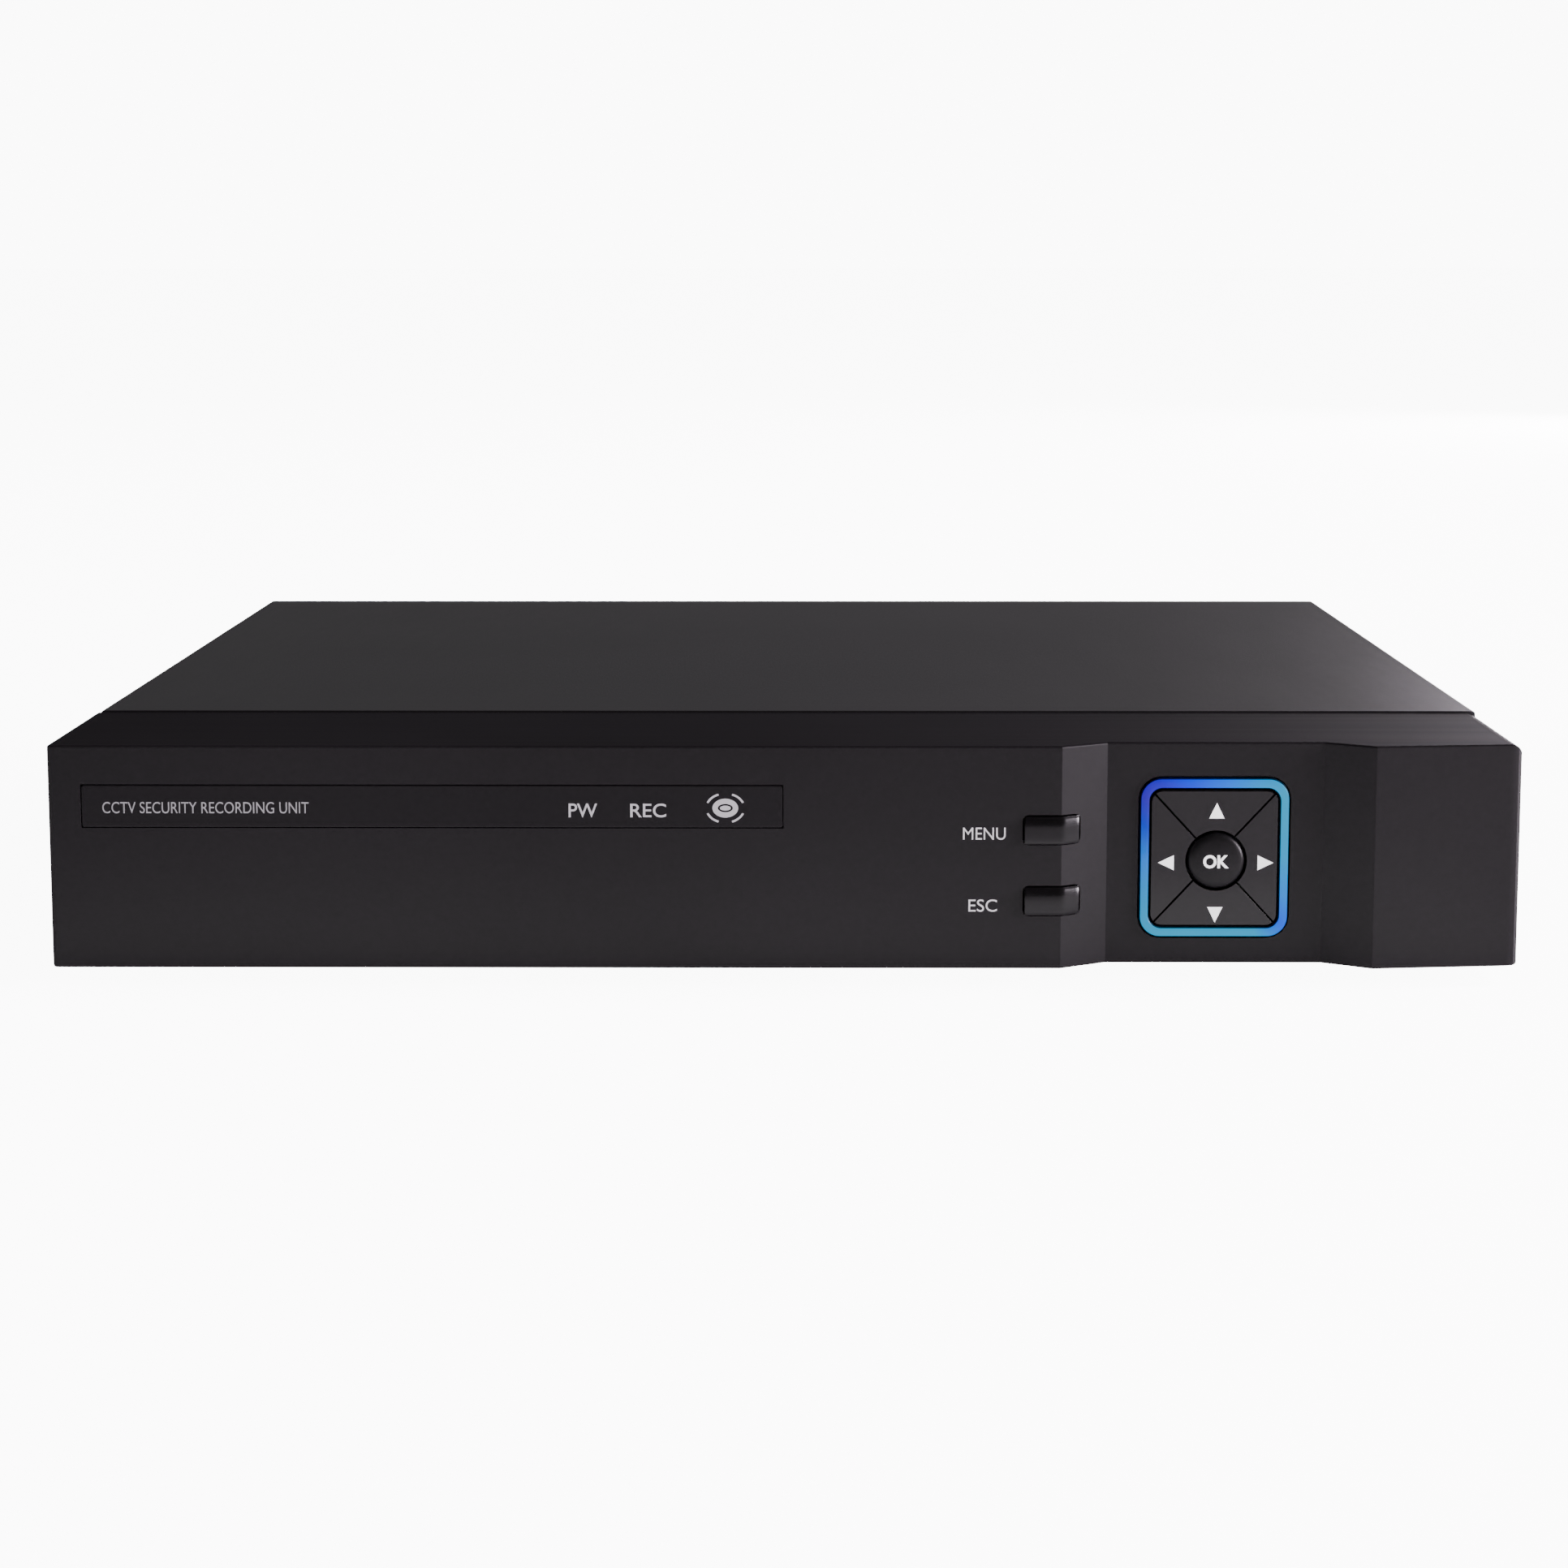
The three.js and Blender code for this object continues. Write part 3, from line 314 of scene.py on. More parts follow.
M = {
    "cover": coated_steel("cover_powder_coat", (0.0105, 0.0098, 0.0106), (0.0135, 0.0126, 0.0136), 0.37, 0.46),
    "base": coated_steel("base_powder_coat", (0.010, 0.0098, 0.0104), (0.014, 0.0134, 0.0144), 0.52, 0.32),
    "bezel": bezel_look("bezel_satin_plastic", (0.0092, 0.0084, 0.0092), (0.0114, 0.0105, 0.0115), 0.36, 0.20),
    # the top face's colours are set darker than the front's: painted shade on the same plastic, besides its duller,
    # coarser finish
    "bezel_top": bezel_look("bezel_top_texture_painted_shade", (0.0083, 0.0076, 0.0083), (0.0103, 0.0095, 0.0104), 0.58, 0.02, top=True),
    "window": moulded("window_smoked_strip", (0.0086, 0.0079, 0.0087), (0.0100, 0.0092, 0.0101), 0.26, 0.16, grain=0.02, vary=0.05),
    "key": moulded("key_satin_plastic", (0.0052, 0.0048, 0.0053), (0.0066, 0.0061, 0.0067), 0.36, 0.22, grain=0.06),
    "nav_key": moulded("nav_key_plastic", (0.0052, 0.0048, 0.0053), (0.0066, 0.0061, 0.0067), 0.20, 0.36, grain=0.03),
    "side_key": moulded("side_key_plastic", (0.0030, 0.0027, 0.0031), (0.0042, 0.0038, 0.0043), 0.22, 0.30, grain=0.03),
    "print": printed("white_print", (0.88, 0.88, 0.88)),
    # the arrow and OK legends glow by a painted emission, not by a lamp
    "legend": backlit("backlit_legend", (0.90, 0.90, 0.90), 1.5),
    "grey_print": printed("pale_print", (0.62, 0.62, 0.63)),
    "dim_print": printed("dim_print", (0.40, 0.40, 0.41)),
    "rubber": rubber("foot_rubber"),
    "black": moulded("black_plastic", (0.012, 0.012, 0.013), (0.020, 0.020, 0.021), 0.42, 0.4),
    "white": moulded("white_plastic", (0.62, 0.62, 0.60), (0.72, 0.72, 0.70), 0.42, 0.45),
    "grey": moulded("grey_plastic", (0.24, 0.25, 0.27), (0.30, 0.31, 0.33), 0.5, 0.4),
    "blue": moulded("blue_plastic", (0.010, 0.045, 0.22), (0.014, 0.060, 0.28), 0.4, 0.45),
    "red": moulded("red_plastic", (0.35, 0.012, 0.010), (0.45, 0.020, 0.014), 0.38, 0.45),
    "yellow": moulded("yellow_plastic", (0.62, 0.42, 0.02), (0.72, 0.50, 0.03), 0.4, 0.45),
    "lamp": moulded("lamp_red", (0.32, 0.008, 0.006), (0.42, 0.012, 0.008), 0.12, 0.5, grain=0.01),
    "nickel": metal("nickel_plate", (0.42, 0.41, 0.39), (0.62, 0.61, 0.58), 0.28),
    "tin": metal("tin_plated_shell", (0.46, 0.46, 0.46), (0.62, 0.62, 0.61), 0.34, stretch=(1, 0.1, 1)),
    "gold": metal("gold_contact", (0.60, 0.40, 0.12), (0.80, 0.56, 0.20), 0.26),
    "zinc": metal("black_zinc_screw", (0.030, 0.029, 0.031), (0.060, 0.058, 0.062), 0.36),
    "steel": metal("zinc_screw", (0.40, 0.41, 0.42), (0.56, 0.57, 0.58), 0.32),
    "alu": metal("cast_aluminium", (0.36, 0.37, 0.38), (0.52, 0.53, 0.54), 0.46, scale=400, strength=0.12),
    "lamp_green": moulded("lamp_green", (0.02, 0.22, 0.03), (0.03, 0.30, 0.04), 0.2, 0.5, grain=0.01),
    "pcb": pcb("circuit_board"),
}


# ------------------------------------------------------------------ mesh helpers
def put(name, bm, mat, body=CASE, replaces=(), smooth=None, bevel=None, segments=2, weight=True):
    """Turns a bmesh in the row frame into a piece that rides on a CAD body."""
    me = bpy.data.meshes.new(name)
    bmesh.ops.remove_doubles(bm, verts=bm.verts, dist=1e-7)
    bm.normal_update()
    bm.to_mesh(me)
    bm.free()
    ob = bpy.data.objects.new(name, me)
    bpy.context.scene.collection.objects.link(ob)
    for m in (mat if isinstance(mat, (list, tuple)) else [mat]):
        me.materials.append(m)
    for p in me.polygons:
        p.use_smooth = True
    if smooth is not None:
        me.set_sharp_from_angle(angle=math.radians(smooth))
    if bevel:
        b = ob.modifiers.new("edges", "BEVEL")
        b.width, b.segments, b.limit_method, b.angle_limit = bevel * MM, segments, "ANGLE", math.radians(30)
        b.harden_normals = True
    if weight:
        w = ob.modifiers.new("normals", "WEIGHTED_NORMAL")
        w.keep_sharp = True
    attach(ob, body)
    if replaces:
        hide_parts(*replaces)
    return ob


def bm_new():
    return bmesh.new()


def add_box(bm, x0, x1, y0, y1, z0, z1, mat=0):
    vs = [bm.verts.new(P(x, y, z)) for x in (x0, x1) for y in (y0, y1) for z in (z0, z1)]
    for f in ((0, 1, 3, 2), (4, 6, 7, 5), (0, 4, 5, 1), (2, 3, 7, 6), (0, 2, 6, 4), (1, 5, 7, 3)):
        bm.faces.new([vs[i] for i in f]).material_index = mat
    return vs


def add_loft(bm, loops, mat=0, cap0=True, cap1=True, close=False):
    """Skins a list of equal-length point loops (row frame)."""
    rows = [[bm.verts.new(p) for p in loop] for loop in loops]
    n = len(rows[0])
    pairs = list(zip(rows, rows[1:])) + ([(rows[-1], rows[0])] if close else [])
    for a, b in pairs:
        for i in range(n):
            j = (i + 1) % n
            try:
                bm.faces.new((a[i], a[j], b[j], b[i])).material_index = mat
            except ValueError:
                pass
    if not close:
        if cap0:
            bm.faces.new(list(reversed(rows[0]))).material_index = mat
        if cap1:
            bm.faces.new(rows[-1]).material_index = mat
    return rows


def axis_point(axis, centre, r, along, ang):
    c, s = math.cos(ang), math.sin(ang)
    if axis == "Y":
        return P(centre[0] + r * c, along, centre[1] + r * s)
    if axis == "X":
        return P(along, centre[0] + r * c, centre[1] + r * s)
    return P(centre[0] + r * c, centre[1] + r * s, along)


def add_lathe(bm, axis, centre, profile, seg=48, mat=0, phase=0.0):
    """Solid of revolution; profile is [(radius, along), ...]. Ends on the axis are closed with one vertex."""
    rows = []
    for r, a in profile:
        if r < 1e-6:
            rows.append([bm.verts.new(axis_point(axis, centre, 0, a, 0))])
        else:
            rows.append([bm.verts.new(axis_point(axis, centre, r, a, phase + 2 * math.pi * i / seg)) for i in range(seg)])
    for a, b in zip(rows, rows[1:]):
        if len(a) == 1 and len(b) == 1:
            continue
        for i in range(seg):
            j = (i + 1) % seg
            if len(a) == 1:
                f = bm.faces.new((a[0], b[j], b[i]))
            elif len(b) == 1:
                f = bm.faces.new((a[i], a[j], b[0]))
            else:
                f = bm.faces.new((a[i], a[j], b[j], b[i]))
            f.material_index = mat
    return rows


def add_prism(bm, axis, pts, a0, a1, mat=0):
    """Outline drawn along an axis: axis Y takes (x, z) points, X takes (y, z), Z takes (x, y)."""
    def at(p, a):
        return {"Y": P(p[0], a, p[1]), "X": P(a, p[0], p[1]), "Z": P(p[0], p[1], a)}[axis]
    return add_loft(bm, [[at(p, a0) for p in pts], [at(p, a1) for p in pts]], mat)


def fix_normals(bm):
    bmesh.ops.recalc_face_normals(bm, faces=bm.faces)
    return bm


def rr(x0, x1, z0, z1, r, n=8):
    pts = []
    for cx, cz, a in ((x1 - r, z0 + r, -90), (x1 - r, z1 - r, 0), (x0 + r, z1 - r, 90), (x0 + r, z0 + r, 180)):
        for i in range(n + 1):
            t = math.radians(a + 90 * i / n)
            pts.append((cx + r * math.cos(t), cz + r * math.sin(t)))
    return pts


def temp(bm, name="cutter"):
    me = bpy.data.meshes.new(name)
    fix_normals(bm)
    bm.to_mesh(me)
    bm.free()
    ob = bpy.data.objects.new(name, me)
    bpy.context.scene.collection.objects.link(ob)
    return ob


def carve(solid, *cutters, operation="DIFFERENCE"):
    """solid and cutters are bmeshes; gives back the carved bmesh."""
    ob = temp(solid, "blank")
    cut = [temp(c) for c in cutters]
    for c in cut:
        m = ob.modifiers.new("cut", "BOOLEAN")
        m.operation, m.object, m.solver = operation, c, "EXACT"
    bpy.context.view_layer.update()
    me = bpy.data.meshes.new_from_object(ob.evaluated_get(bpy.context.evaluated_depsgraph_get()))
    out = bmesh.new()
    out.from_mesh(me)
    for o in [ob, *cut]:
        data = o.data
        bpy.data.objects.remove(o)
        bpy.data.meshes.remove(data)
    bpy.data.meshes.remove(me)
    bmesh.ops.dissolve_limit(out, angle_limit=math.radians(0.4), verts=out.verts, edges=out.edges)
    return out


def dress(node, mat, bevel=0.25, segments=2, flat=1.0, angle=30):
    """A CAD node shown as it is, with welded vertices, merged flats and softened edges."""
    ob = NODES[node]
    me = ob.data
    me.materials.clear()
    for m in (mat if isinstance(mat, (list, tuple)) else [mat]):
        me.materials.append(m)
    for p in me.polygons:
        p.use_smooth = True
        p.material_index = 0
    w = ob.modifiers.new("weld", "WELD")
    w.merge_threshold = 2e-6
    d = ob.modifiers.new("flats", "DECIMATE")
    d.decimate_type = "DISSOLVE"
    d.angle_limit = math.radians(flat)
    if bevel:
        b = ob.modifiers.new("edges", "BEVEL")
        b.width, b.segments, b.limit_method, b.angle_limit = bevel * MM, segments, "ANGLE", math.radians(angle)
        b.harden_normals = True
        b.use_clamp_overlap = True
    n = ob.modifiers.new("normals", "WEIGHTED_NORMAL")
    n.weight = 60
    return ob


def words(name, text, x0, x1, zc, y, mat, cap=None, thick=0.05, bold=0.0, body=CASE, spacing=1.0, back=False, gap_x=0.0):
    """Raised print: text from x0 to x1 centred on zc, its ink on the face at depth y, read from the front (or the back)."""
    cu = bpy.data.curves.new(name, "FONT")
    cu.body = text
    cu.size = 1
    cu.space_character = spacing
    cu.offset = bold
    cu.resolution_u = 6
    ob = bpy.data.objects.new(name, cu)
    bpy.context.scene.collection.objects.link(ob)
    bpy.context.view_layer.update()
    me = bpy.data.meshes.new_from_object(ob.evaluated_get(bpy.context.evaluated_depsgraph_get()))
    bpy.data.objects.remove(ob)
    bpy.data.curves.remove(cu)
    bm = bmesh.new()
    bm.from_mesh(me)
    bpy.data.meshes.remove(me)
    bmesh.ops.remove_doubles(bm, verts=bm.verts, dist=1e-5)
    xs = [v.co.x for v in bm.verts]
    ys = [v.co.y for v in bm.verts]
    lo, hi, bot, top = min(xs), max(xs), min(ys), max(ys)
    sx = (x1 - x0) / (hi - lo)
    sz = sx if cap is None else cap / (top - bot)
    for v in bm.verts:
        u, w = (v.co.x - lo) * sx, (v.co.y - (bot + top) / 2) * sz
        v.co = P(x1 - u, y, zc + w) if back else P(x0 + u, y, zc + w)
    out = bmesh.ops.extrude_face_region(bm, geom=list(bm.faces))
    push = (thick if back else -thick) * MM
    for v in [g for g in out["geom"] if isinstance(g, bmesh.types.BMVert)]:
        v.co.y += push
    fix_normals(bm)
    return put(name, bm, mat, body, smooth=25, weight=False)


# ------------------------------------------------------------------ case and bezel
dress("base_chassis", M["base"], bevel=0.15, segments=1)
dress("top_cover", M["cover"], bevel=0.16, segments=2)
dress("front_bezel", [M["bezel"], M["bezel_top"]], bevel=0.22, segments=3, angle=18)
# upward faces take the darker top material, which carries painted shade as well as its own texture
for p in NODES["front_bezel"].data.polygons:
    if p.normal.z > 0.5 and p.center.z > BEZEL_TOP - 0.9 * MM:
        p.material_index = 1

# the window strip fits its pocket closely, with a fine rounded edge
wx0, wx1, wy0, wy1, wz0, wz1 = span("display_window")
bm = bm_new()
loops = []
for inset, y in ((0.30, wy0), (0.12, wy0 + 0.03), (0.03, wy0 + 0.10), (0.0, wy0 + 0.22), (0.0, wy1 - 0.1), (0.1, wy1)):
    k = inset - 0.26
    loops.append([P(a, y, b) for a, b in rr(wx0 + k, wx1 - k, wz0 + k, wz1 - k, 0.45, 5)])
add_loft(bm, loops)
put("window_strip", fix_normals(bm), M["window"], CASE, replaces=["display_window"], smooth=50)

# ------------------------------------------------------------------ key pad
for k in ("up", "down", "left", "right"):
    dress(k + "_key", M["nav_key"], bevel=0.46, segments=4)


def side_key(k):
    """A key that wraps over the edge of the recess, with its front crowned from top to bottom."""
    x0, x1, _, y1, z0, z1 = span(k + "_key")
    x0, x1, z0, z1 = x0 + 1.2, x1 - 1.2, z0 + 1.0, z1 - 1.0
    turn, front = 56.2, -0.9
    end = (x1 - 56.0) * 4.7 / 9.7 + front
    plan = [(x0, 7.6), (x0, front + 0.34), (x0 + 0.10, front + 0.12), (x0 + 0.34, front), (turn - 0.5, front), (turn - 0.15, front + 0.02), (turn + 0.2, front + 0.10)]
    for i in range(1, 6):
        s = i / 6
        plan.append((turn + 0.2 + (x1 - 0.3 - turn - 0.2) * s, front + 0.10 + (end - 0.14 - front - 0.10) * s))
    plan += [(x1 - 0.3, end - 0.14), (x1 - 0.08, end + 0.02), (x1, end + 0.34), (x1, 7.6)]
    bm = bm_new()
    loops = []
    rows = 17
    for j in range(rows + 1):
        t = j / rows
        u = abs(2 * t - 1)
        back = (0.50 if t > 0.5 else 0.16) * u ** 2.4 + (0.16 if j in (0, rows) else 0.0)
        side = 0.16 if j in (0, rows) else 0.0
        z = z0 + (z1 - z0) * t
        row = []
        for x, y in plan:
            xx = x + side if x < x0 + 0.05 else (x - side if x > x1 - 0.05 else x)
            row.append(P(xx, y if y > 7 else y + back, z))
        loops.append(row)
    add_loft(bm, loops)
    add_box(bm, x0 - 1.2, x1 + 1.2, 6.2, 7.6, z0 - 1, z1 + 1)
    add_lathe(bm, "Y", (54.2, (z0 + z1) / 2), [(0, 7.2), (1.6, 7.2), (1.6, y1 - 0.12), (1.5, y1), (0, y1)], 32)
    put(k + "_key_cap", fix_normals(bm), M["side_key"], k + "_button", replaces=[k + "_key"], smooth=38)


for k in ("menu", "esc"):
    side_key(k)

OX, OZ = 88.05, 25.6
bm = bm_new()
add_lathe(bm, "Y", (OX, OZ), [(0, 3.35), (1.5, 3.37), (2.9, 3.44), (4.2, 3.58), (4.95, 3.74), (5.35, 3.95), (5.62, 4.2), (5.76, 4.5), (5.8, 4.9), (5.8, 11.3), (7.0, 11.3), (7.1, 11.4), (7.1, 12.0), (1.6, 12.0), (1.6, 12.2), (1.5, 12.3), (0, 12.3)], 96)
put("ok_key_cap", fix_normals(bm), M["key"], "ok_button", replaces=["ok_key"], smooth=40)

# the light ring: a domed frame of translucent plastic with a flange behind the bezel wall
X0, X1, Y0, Y1, Z0, Z1 = 72.4, 102.9, span("nav_light_ring")[2], span("nav_light_ring")[3], 9.6, 42.7


def ring_loop(inset, y, ri=None):
    """A rounded rectangle lying between the outer outline (inset 0) and the inner one (inset 1)."""
    k = inset
    x0, x1 = X0 + 2.0 * k, X1 - 2.0 * k
    z0, z1 = Z0 + 2.1 * k, Z1 - 2.2 * k
    r = 4.3 + (2.6 - 4.3) * k
    if k < 0:
        x0, x1, z0, z1, r = X0 + 1.4 * k, X1 - 1.4 * k, Z0 + 1.4 * k, Z1 - 1.4 * k, 5.2
    return [P(a, y, b) for a, b in rr(x0, x1, z0, z1, r, 12)]


bm = bm_new()
section = [(0.0, 7.5), (0.0, Y0 + 0.75), (0.03, Y0 + 0.42), (0.10, Y0 + 0.18), (0.22, Y0 + 0.05), (0.38, Y0), (0.62, Y0), (0.78, Y0 + 0.05), (0.90, Y0 + 0.18), (0.97, Y0 + 0.42), (1.0, Y0 + 0.75), (1.0, Y1), (-1.0, Y1), (-1.0, 7.5)]
add_loft(bm, [ring_loop(k, y) for k, y in section], close=True)
M["ring"] = ring_light("ring_light_guide", P((X0 + X1) / 2, Y0 + 0.17, (Z0 + Z1) / 2))
put("light_ring", fix_normals(bm), M["ring"], CASE, replaces=["nav_light_ring"], smooth=50)

# ------------------------------------------------------------------ prints on the front
WIN_Y = span("display_window")[2]
words("print_header", "CCTV SECURITY RECORDING UNIT", -138.8, -96.8, 37.3, WIN_Y, M["dim_print"], cap=2.35, thick=0.03)
words("print_power", "PW", -44.0, -38.2, 36.8, WIN_Y, M["grey_print"], cap=2.85, thick=0.03, bold=0.008)
words("print_record", "REC", -31.5, -24.2, 36.8, WIN_Y, M["grey_print"], cap=2.85, thick=0.03, bold=0.008)
words("print_menu", "MENU", 36.0, 44.65, 32.08, 0.0, M["print"], cap=2.5, thick=0.04)
words("print_escape", "ESC", 37.2, 43.0, 17.2, 0.0, M["print"], cap=2.55, thick=0.04)
words("print_ok", "OK", 85.3, 90.5, 25.55, 3.46, M["legend"], cap=2.75, thick=0.15, bold=0.03, body="ok_button")

# receiver mark: a solid oval with a dark ring in it and four short arcs around it
bm = bm_new()
cx, cz = -12.2, 37.3


def band(bm, rx, rz, w, a0, a1, n, y0, y1):
    full = abs(a1 - a0) >= 359.9
    m = n if full else n + 1
    loops = []
    for i in range(m):
        t = math.radians(a0 + (a1 - a0) * i / n)
        c, s = math.cos(t), math.sin(t)
        loops.append([P(cx + (rx - w) * c, y0, cz + (rz - w) * s), P(cx + rx * c, y0, cz + rz * s), P(cx + rx * c, y1, cz + rz * s), P(cx + (rx - w) * c, y1, cz + (rz - w) * s)])
    add_loft(bm, loops, close=full)


band(bm, 2.62, 1.95, 1.10, 0, 360, 48, WIN_Y - 0.03, WIN_Y + 0.02)
add_prism(bm, "Y", [(cx + 1.12 * math.cos(a), cz + 0.52 * math.sin(a)) for a in [2 * math.pi * i / 32 for i in range(32)]], WIN_Y - 0.03, WIN_Y + 0.02)
for a in (45, 135, 225, 315):
    band(bm, 4.05, 3.2, 0.42, a - 24, a + 24, 12, WIN_Y - 0.03, WIN_Y + 0.02)
put("print_receiver", fix_normals(bm), M["grey_print"], CASE, smooth=30, weight=False)

# arrows on the four keys
KEY_FACE = span("up_key")[2]
for k, (ax, az), d in (("up", (88.05, 35.85), (0, 1)), ("down", (87.95, 14.4), (0, -1)), ("left", (77.9, 25.15), (-1, 0)), ("right", (98.0, 25.15), (1, 0))):
    tri = [(-1.56, -1.5), (1.56, -1.5), (0, 1.74)]
    pts = []
    for u, w in tri:
        x, z = (u * d[1] + w * d[0], w * d[1] - u * d[0])
        pts.append((ax + x, az + z))
    if (pts[1][0] - pts[0][0]) * (pts[2][1] - pts[0][1]) - (pts[1][1] - pts[0][1]) * (pts[2][0] - pts[0][0]) < 0:
        pts.reverse()
    bm = bm_new()
    add_prism(bm, "Y", pts, KEY_FACE - 0.04, KEY_FACE + 0.05)
    put("arrow_" + k, fix_normals(bm), M["legend"], k + "_button", smooth=30, weight=False)


# ------------------------------------------------------------------ screws and feet
def cross_cut(axis, centre, face, into, size=3.0, wide=0.72, depth=1.0):
    """Two crossed tapered slots that cut a screw's drive; into is +1 or -1, the way into the head along the axis."""
    out = []
    for turn in (0, 1):
        bm = bm_new()
        loops = []
        for d, k in ((-0.5, 1.12), (depth * 0.55, 0.95), (depth, 0.45)):
            a = face + into * d
            h, w = size / 2 * k, wide / 2
            pts = [(-h, -w), (h, -w), (h, w), (-h, w)]
            if turn:
                pts = [(-v, u) for u, v in pts]
            # turned 20 degrees so the slots don't sit square to the case
            c, s = math.cos(0.35), math.sin(0.35)
            pts = [(u * c - v * s, u * s + v * c) for u, v in pts]
            if axis == "X":
                loops.append([P(a, centre[0] + u, centre[1] + v) for u, v in pts])
            elif axis == "Y":
                loops.append([P(centre[0] + u, a, centre[1] + v) for u, v in pts])
            else:
                loops.append([P(centre[0] + u, centre[1] + v, a) for u, v in pts])
        add_loft(bm, loops)
        out.append(bm)
    return out


def screw(name, axis, centre, face, back, r, shank_r, shank_end, mat, replaces=(), body=CASE, drive=None):
    """Pan-head cross-drive screw; face is the outer face of the head, back the head's seat."""
    s = 1 if back > face else -1
    h = abs(back - face)
    at = lambda t: face + s * t
    prof = [(0, at(0)), (r * 0.35, at(0.01)), (r * 0.62, at(h * 0.09)), (r * 0.82, at(h * 0.26)), (r * 0.94, at(h * 0.5)), (r, at(h * 0.78)), (r, at(h * 0.95)), (r * 0.98, at(h))]
    prof += [(shank_r, at(h))]
    n = max(3, int(abs(shank_end - back) / 0.45))
    for i in range(1, n):
        a = back + (shank_end - back) * i / n
        prof.append((shank_r * (0.84 if i % 2 else 1.0), a))
    prof += [(shank_r * 0.7, shank_end), (0, shank_end)]
    bm = bm_new()
    add_lathe(bm, axis, centre, prof, 32)
    bm = carve(fix_normals(bm), *cross_cut(axis, centre, face, s, size=(drive or r * 1.1), wide=r * 0.25, depth=h * 0.75))
    return put(name, fix_normals(bm), mat, body, replaces=replaces, smooth=28)


for side in ("left", "right"):
    for where in ("front", "rear"):
        node = "cover_screw_%s_%s" % (side, where)
        x0, x1, y0, y1, z0, z1 = span(node)
        cyx = ((y0 + y1) / 2, (z0 + z1) / 2)
        if side == "left":
            screw(node + "_head", "X", cyx, x0, x0 + 1.25, 2.9, 1.45, x1, M["zinc"], [node])
        else:
            screw(node + "_head", "X", cyx, x1, x1 - 1.25, 2.9, 1.45, x0, M["zinc"], [node])
x0, x1, y0, y1, z0, z1 = span("cover_screw_back")
screw("cover_screw_back_head", "Y", (-60, 47.0), y1, y1 - 1.4, 2.5, 0.95, y0, M["zinc"], ["cover_screw_back"])

for node in ("foot_front_left", "foot_front_right", "foot_rear_left", "foot_rear_right"):
    x0, x1, y0, y1, z0, z1 = span(node)
    c = ((x0 + x1) / 2, (y0 + y1) / 2)
    bm = bm_new()
    add_lathe(bm, "Z", c, [(0, 2.4), (2.7, 2.4), (2.75, 2.1), (2.8, 0.95), (3.1, 0.62), (4.1, 0.58), (4.45, 0.42), (4.6, 0.12), (4.85, 0), (6.35, 0), (6.75, 0.10), (7.05, 0.36), (7.2, 0.75), (7.28, 1.5), (7.42, 2.7), (7.6, 4.15), (7.58, 4.3), (0, 4.3)], 64)
    put(node + "_pad", fix_normals(bm), M["rubber"], CASE, replaces=[node], smooth=35)
    screw(node + "_screw", "Z", c, 1.25, 2.42, 2.35, 1.2, 4.2, M["steel"])

# ------------------------------------------------------------------ rear connectors


def hex_pts(cx, cz, across, turn=0.0):
    r = across / 2 / math.cos(math.pi / 6)
    return [(cx + r * math.cos(turn + math.pi / 3 * i), cz + r * math.sin(turn + math.pi / 3 * i)) for i in range(6)]


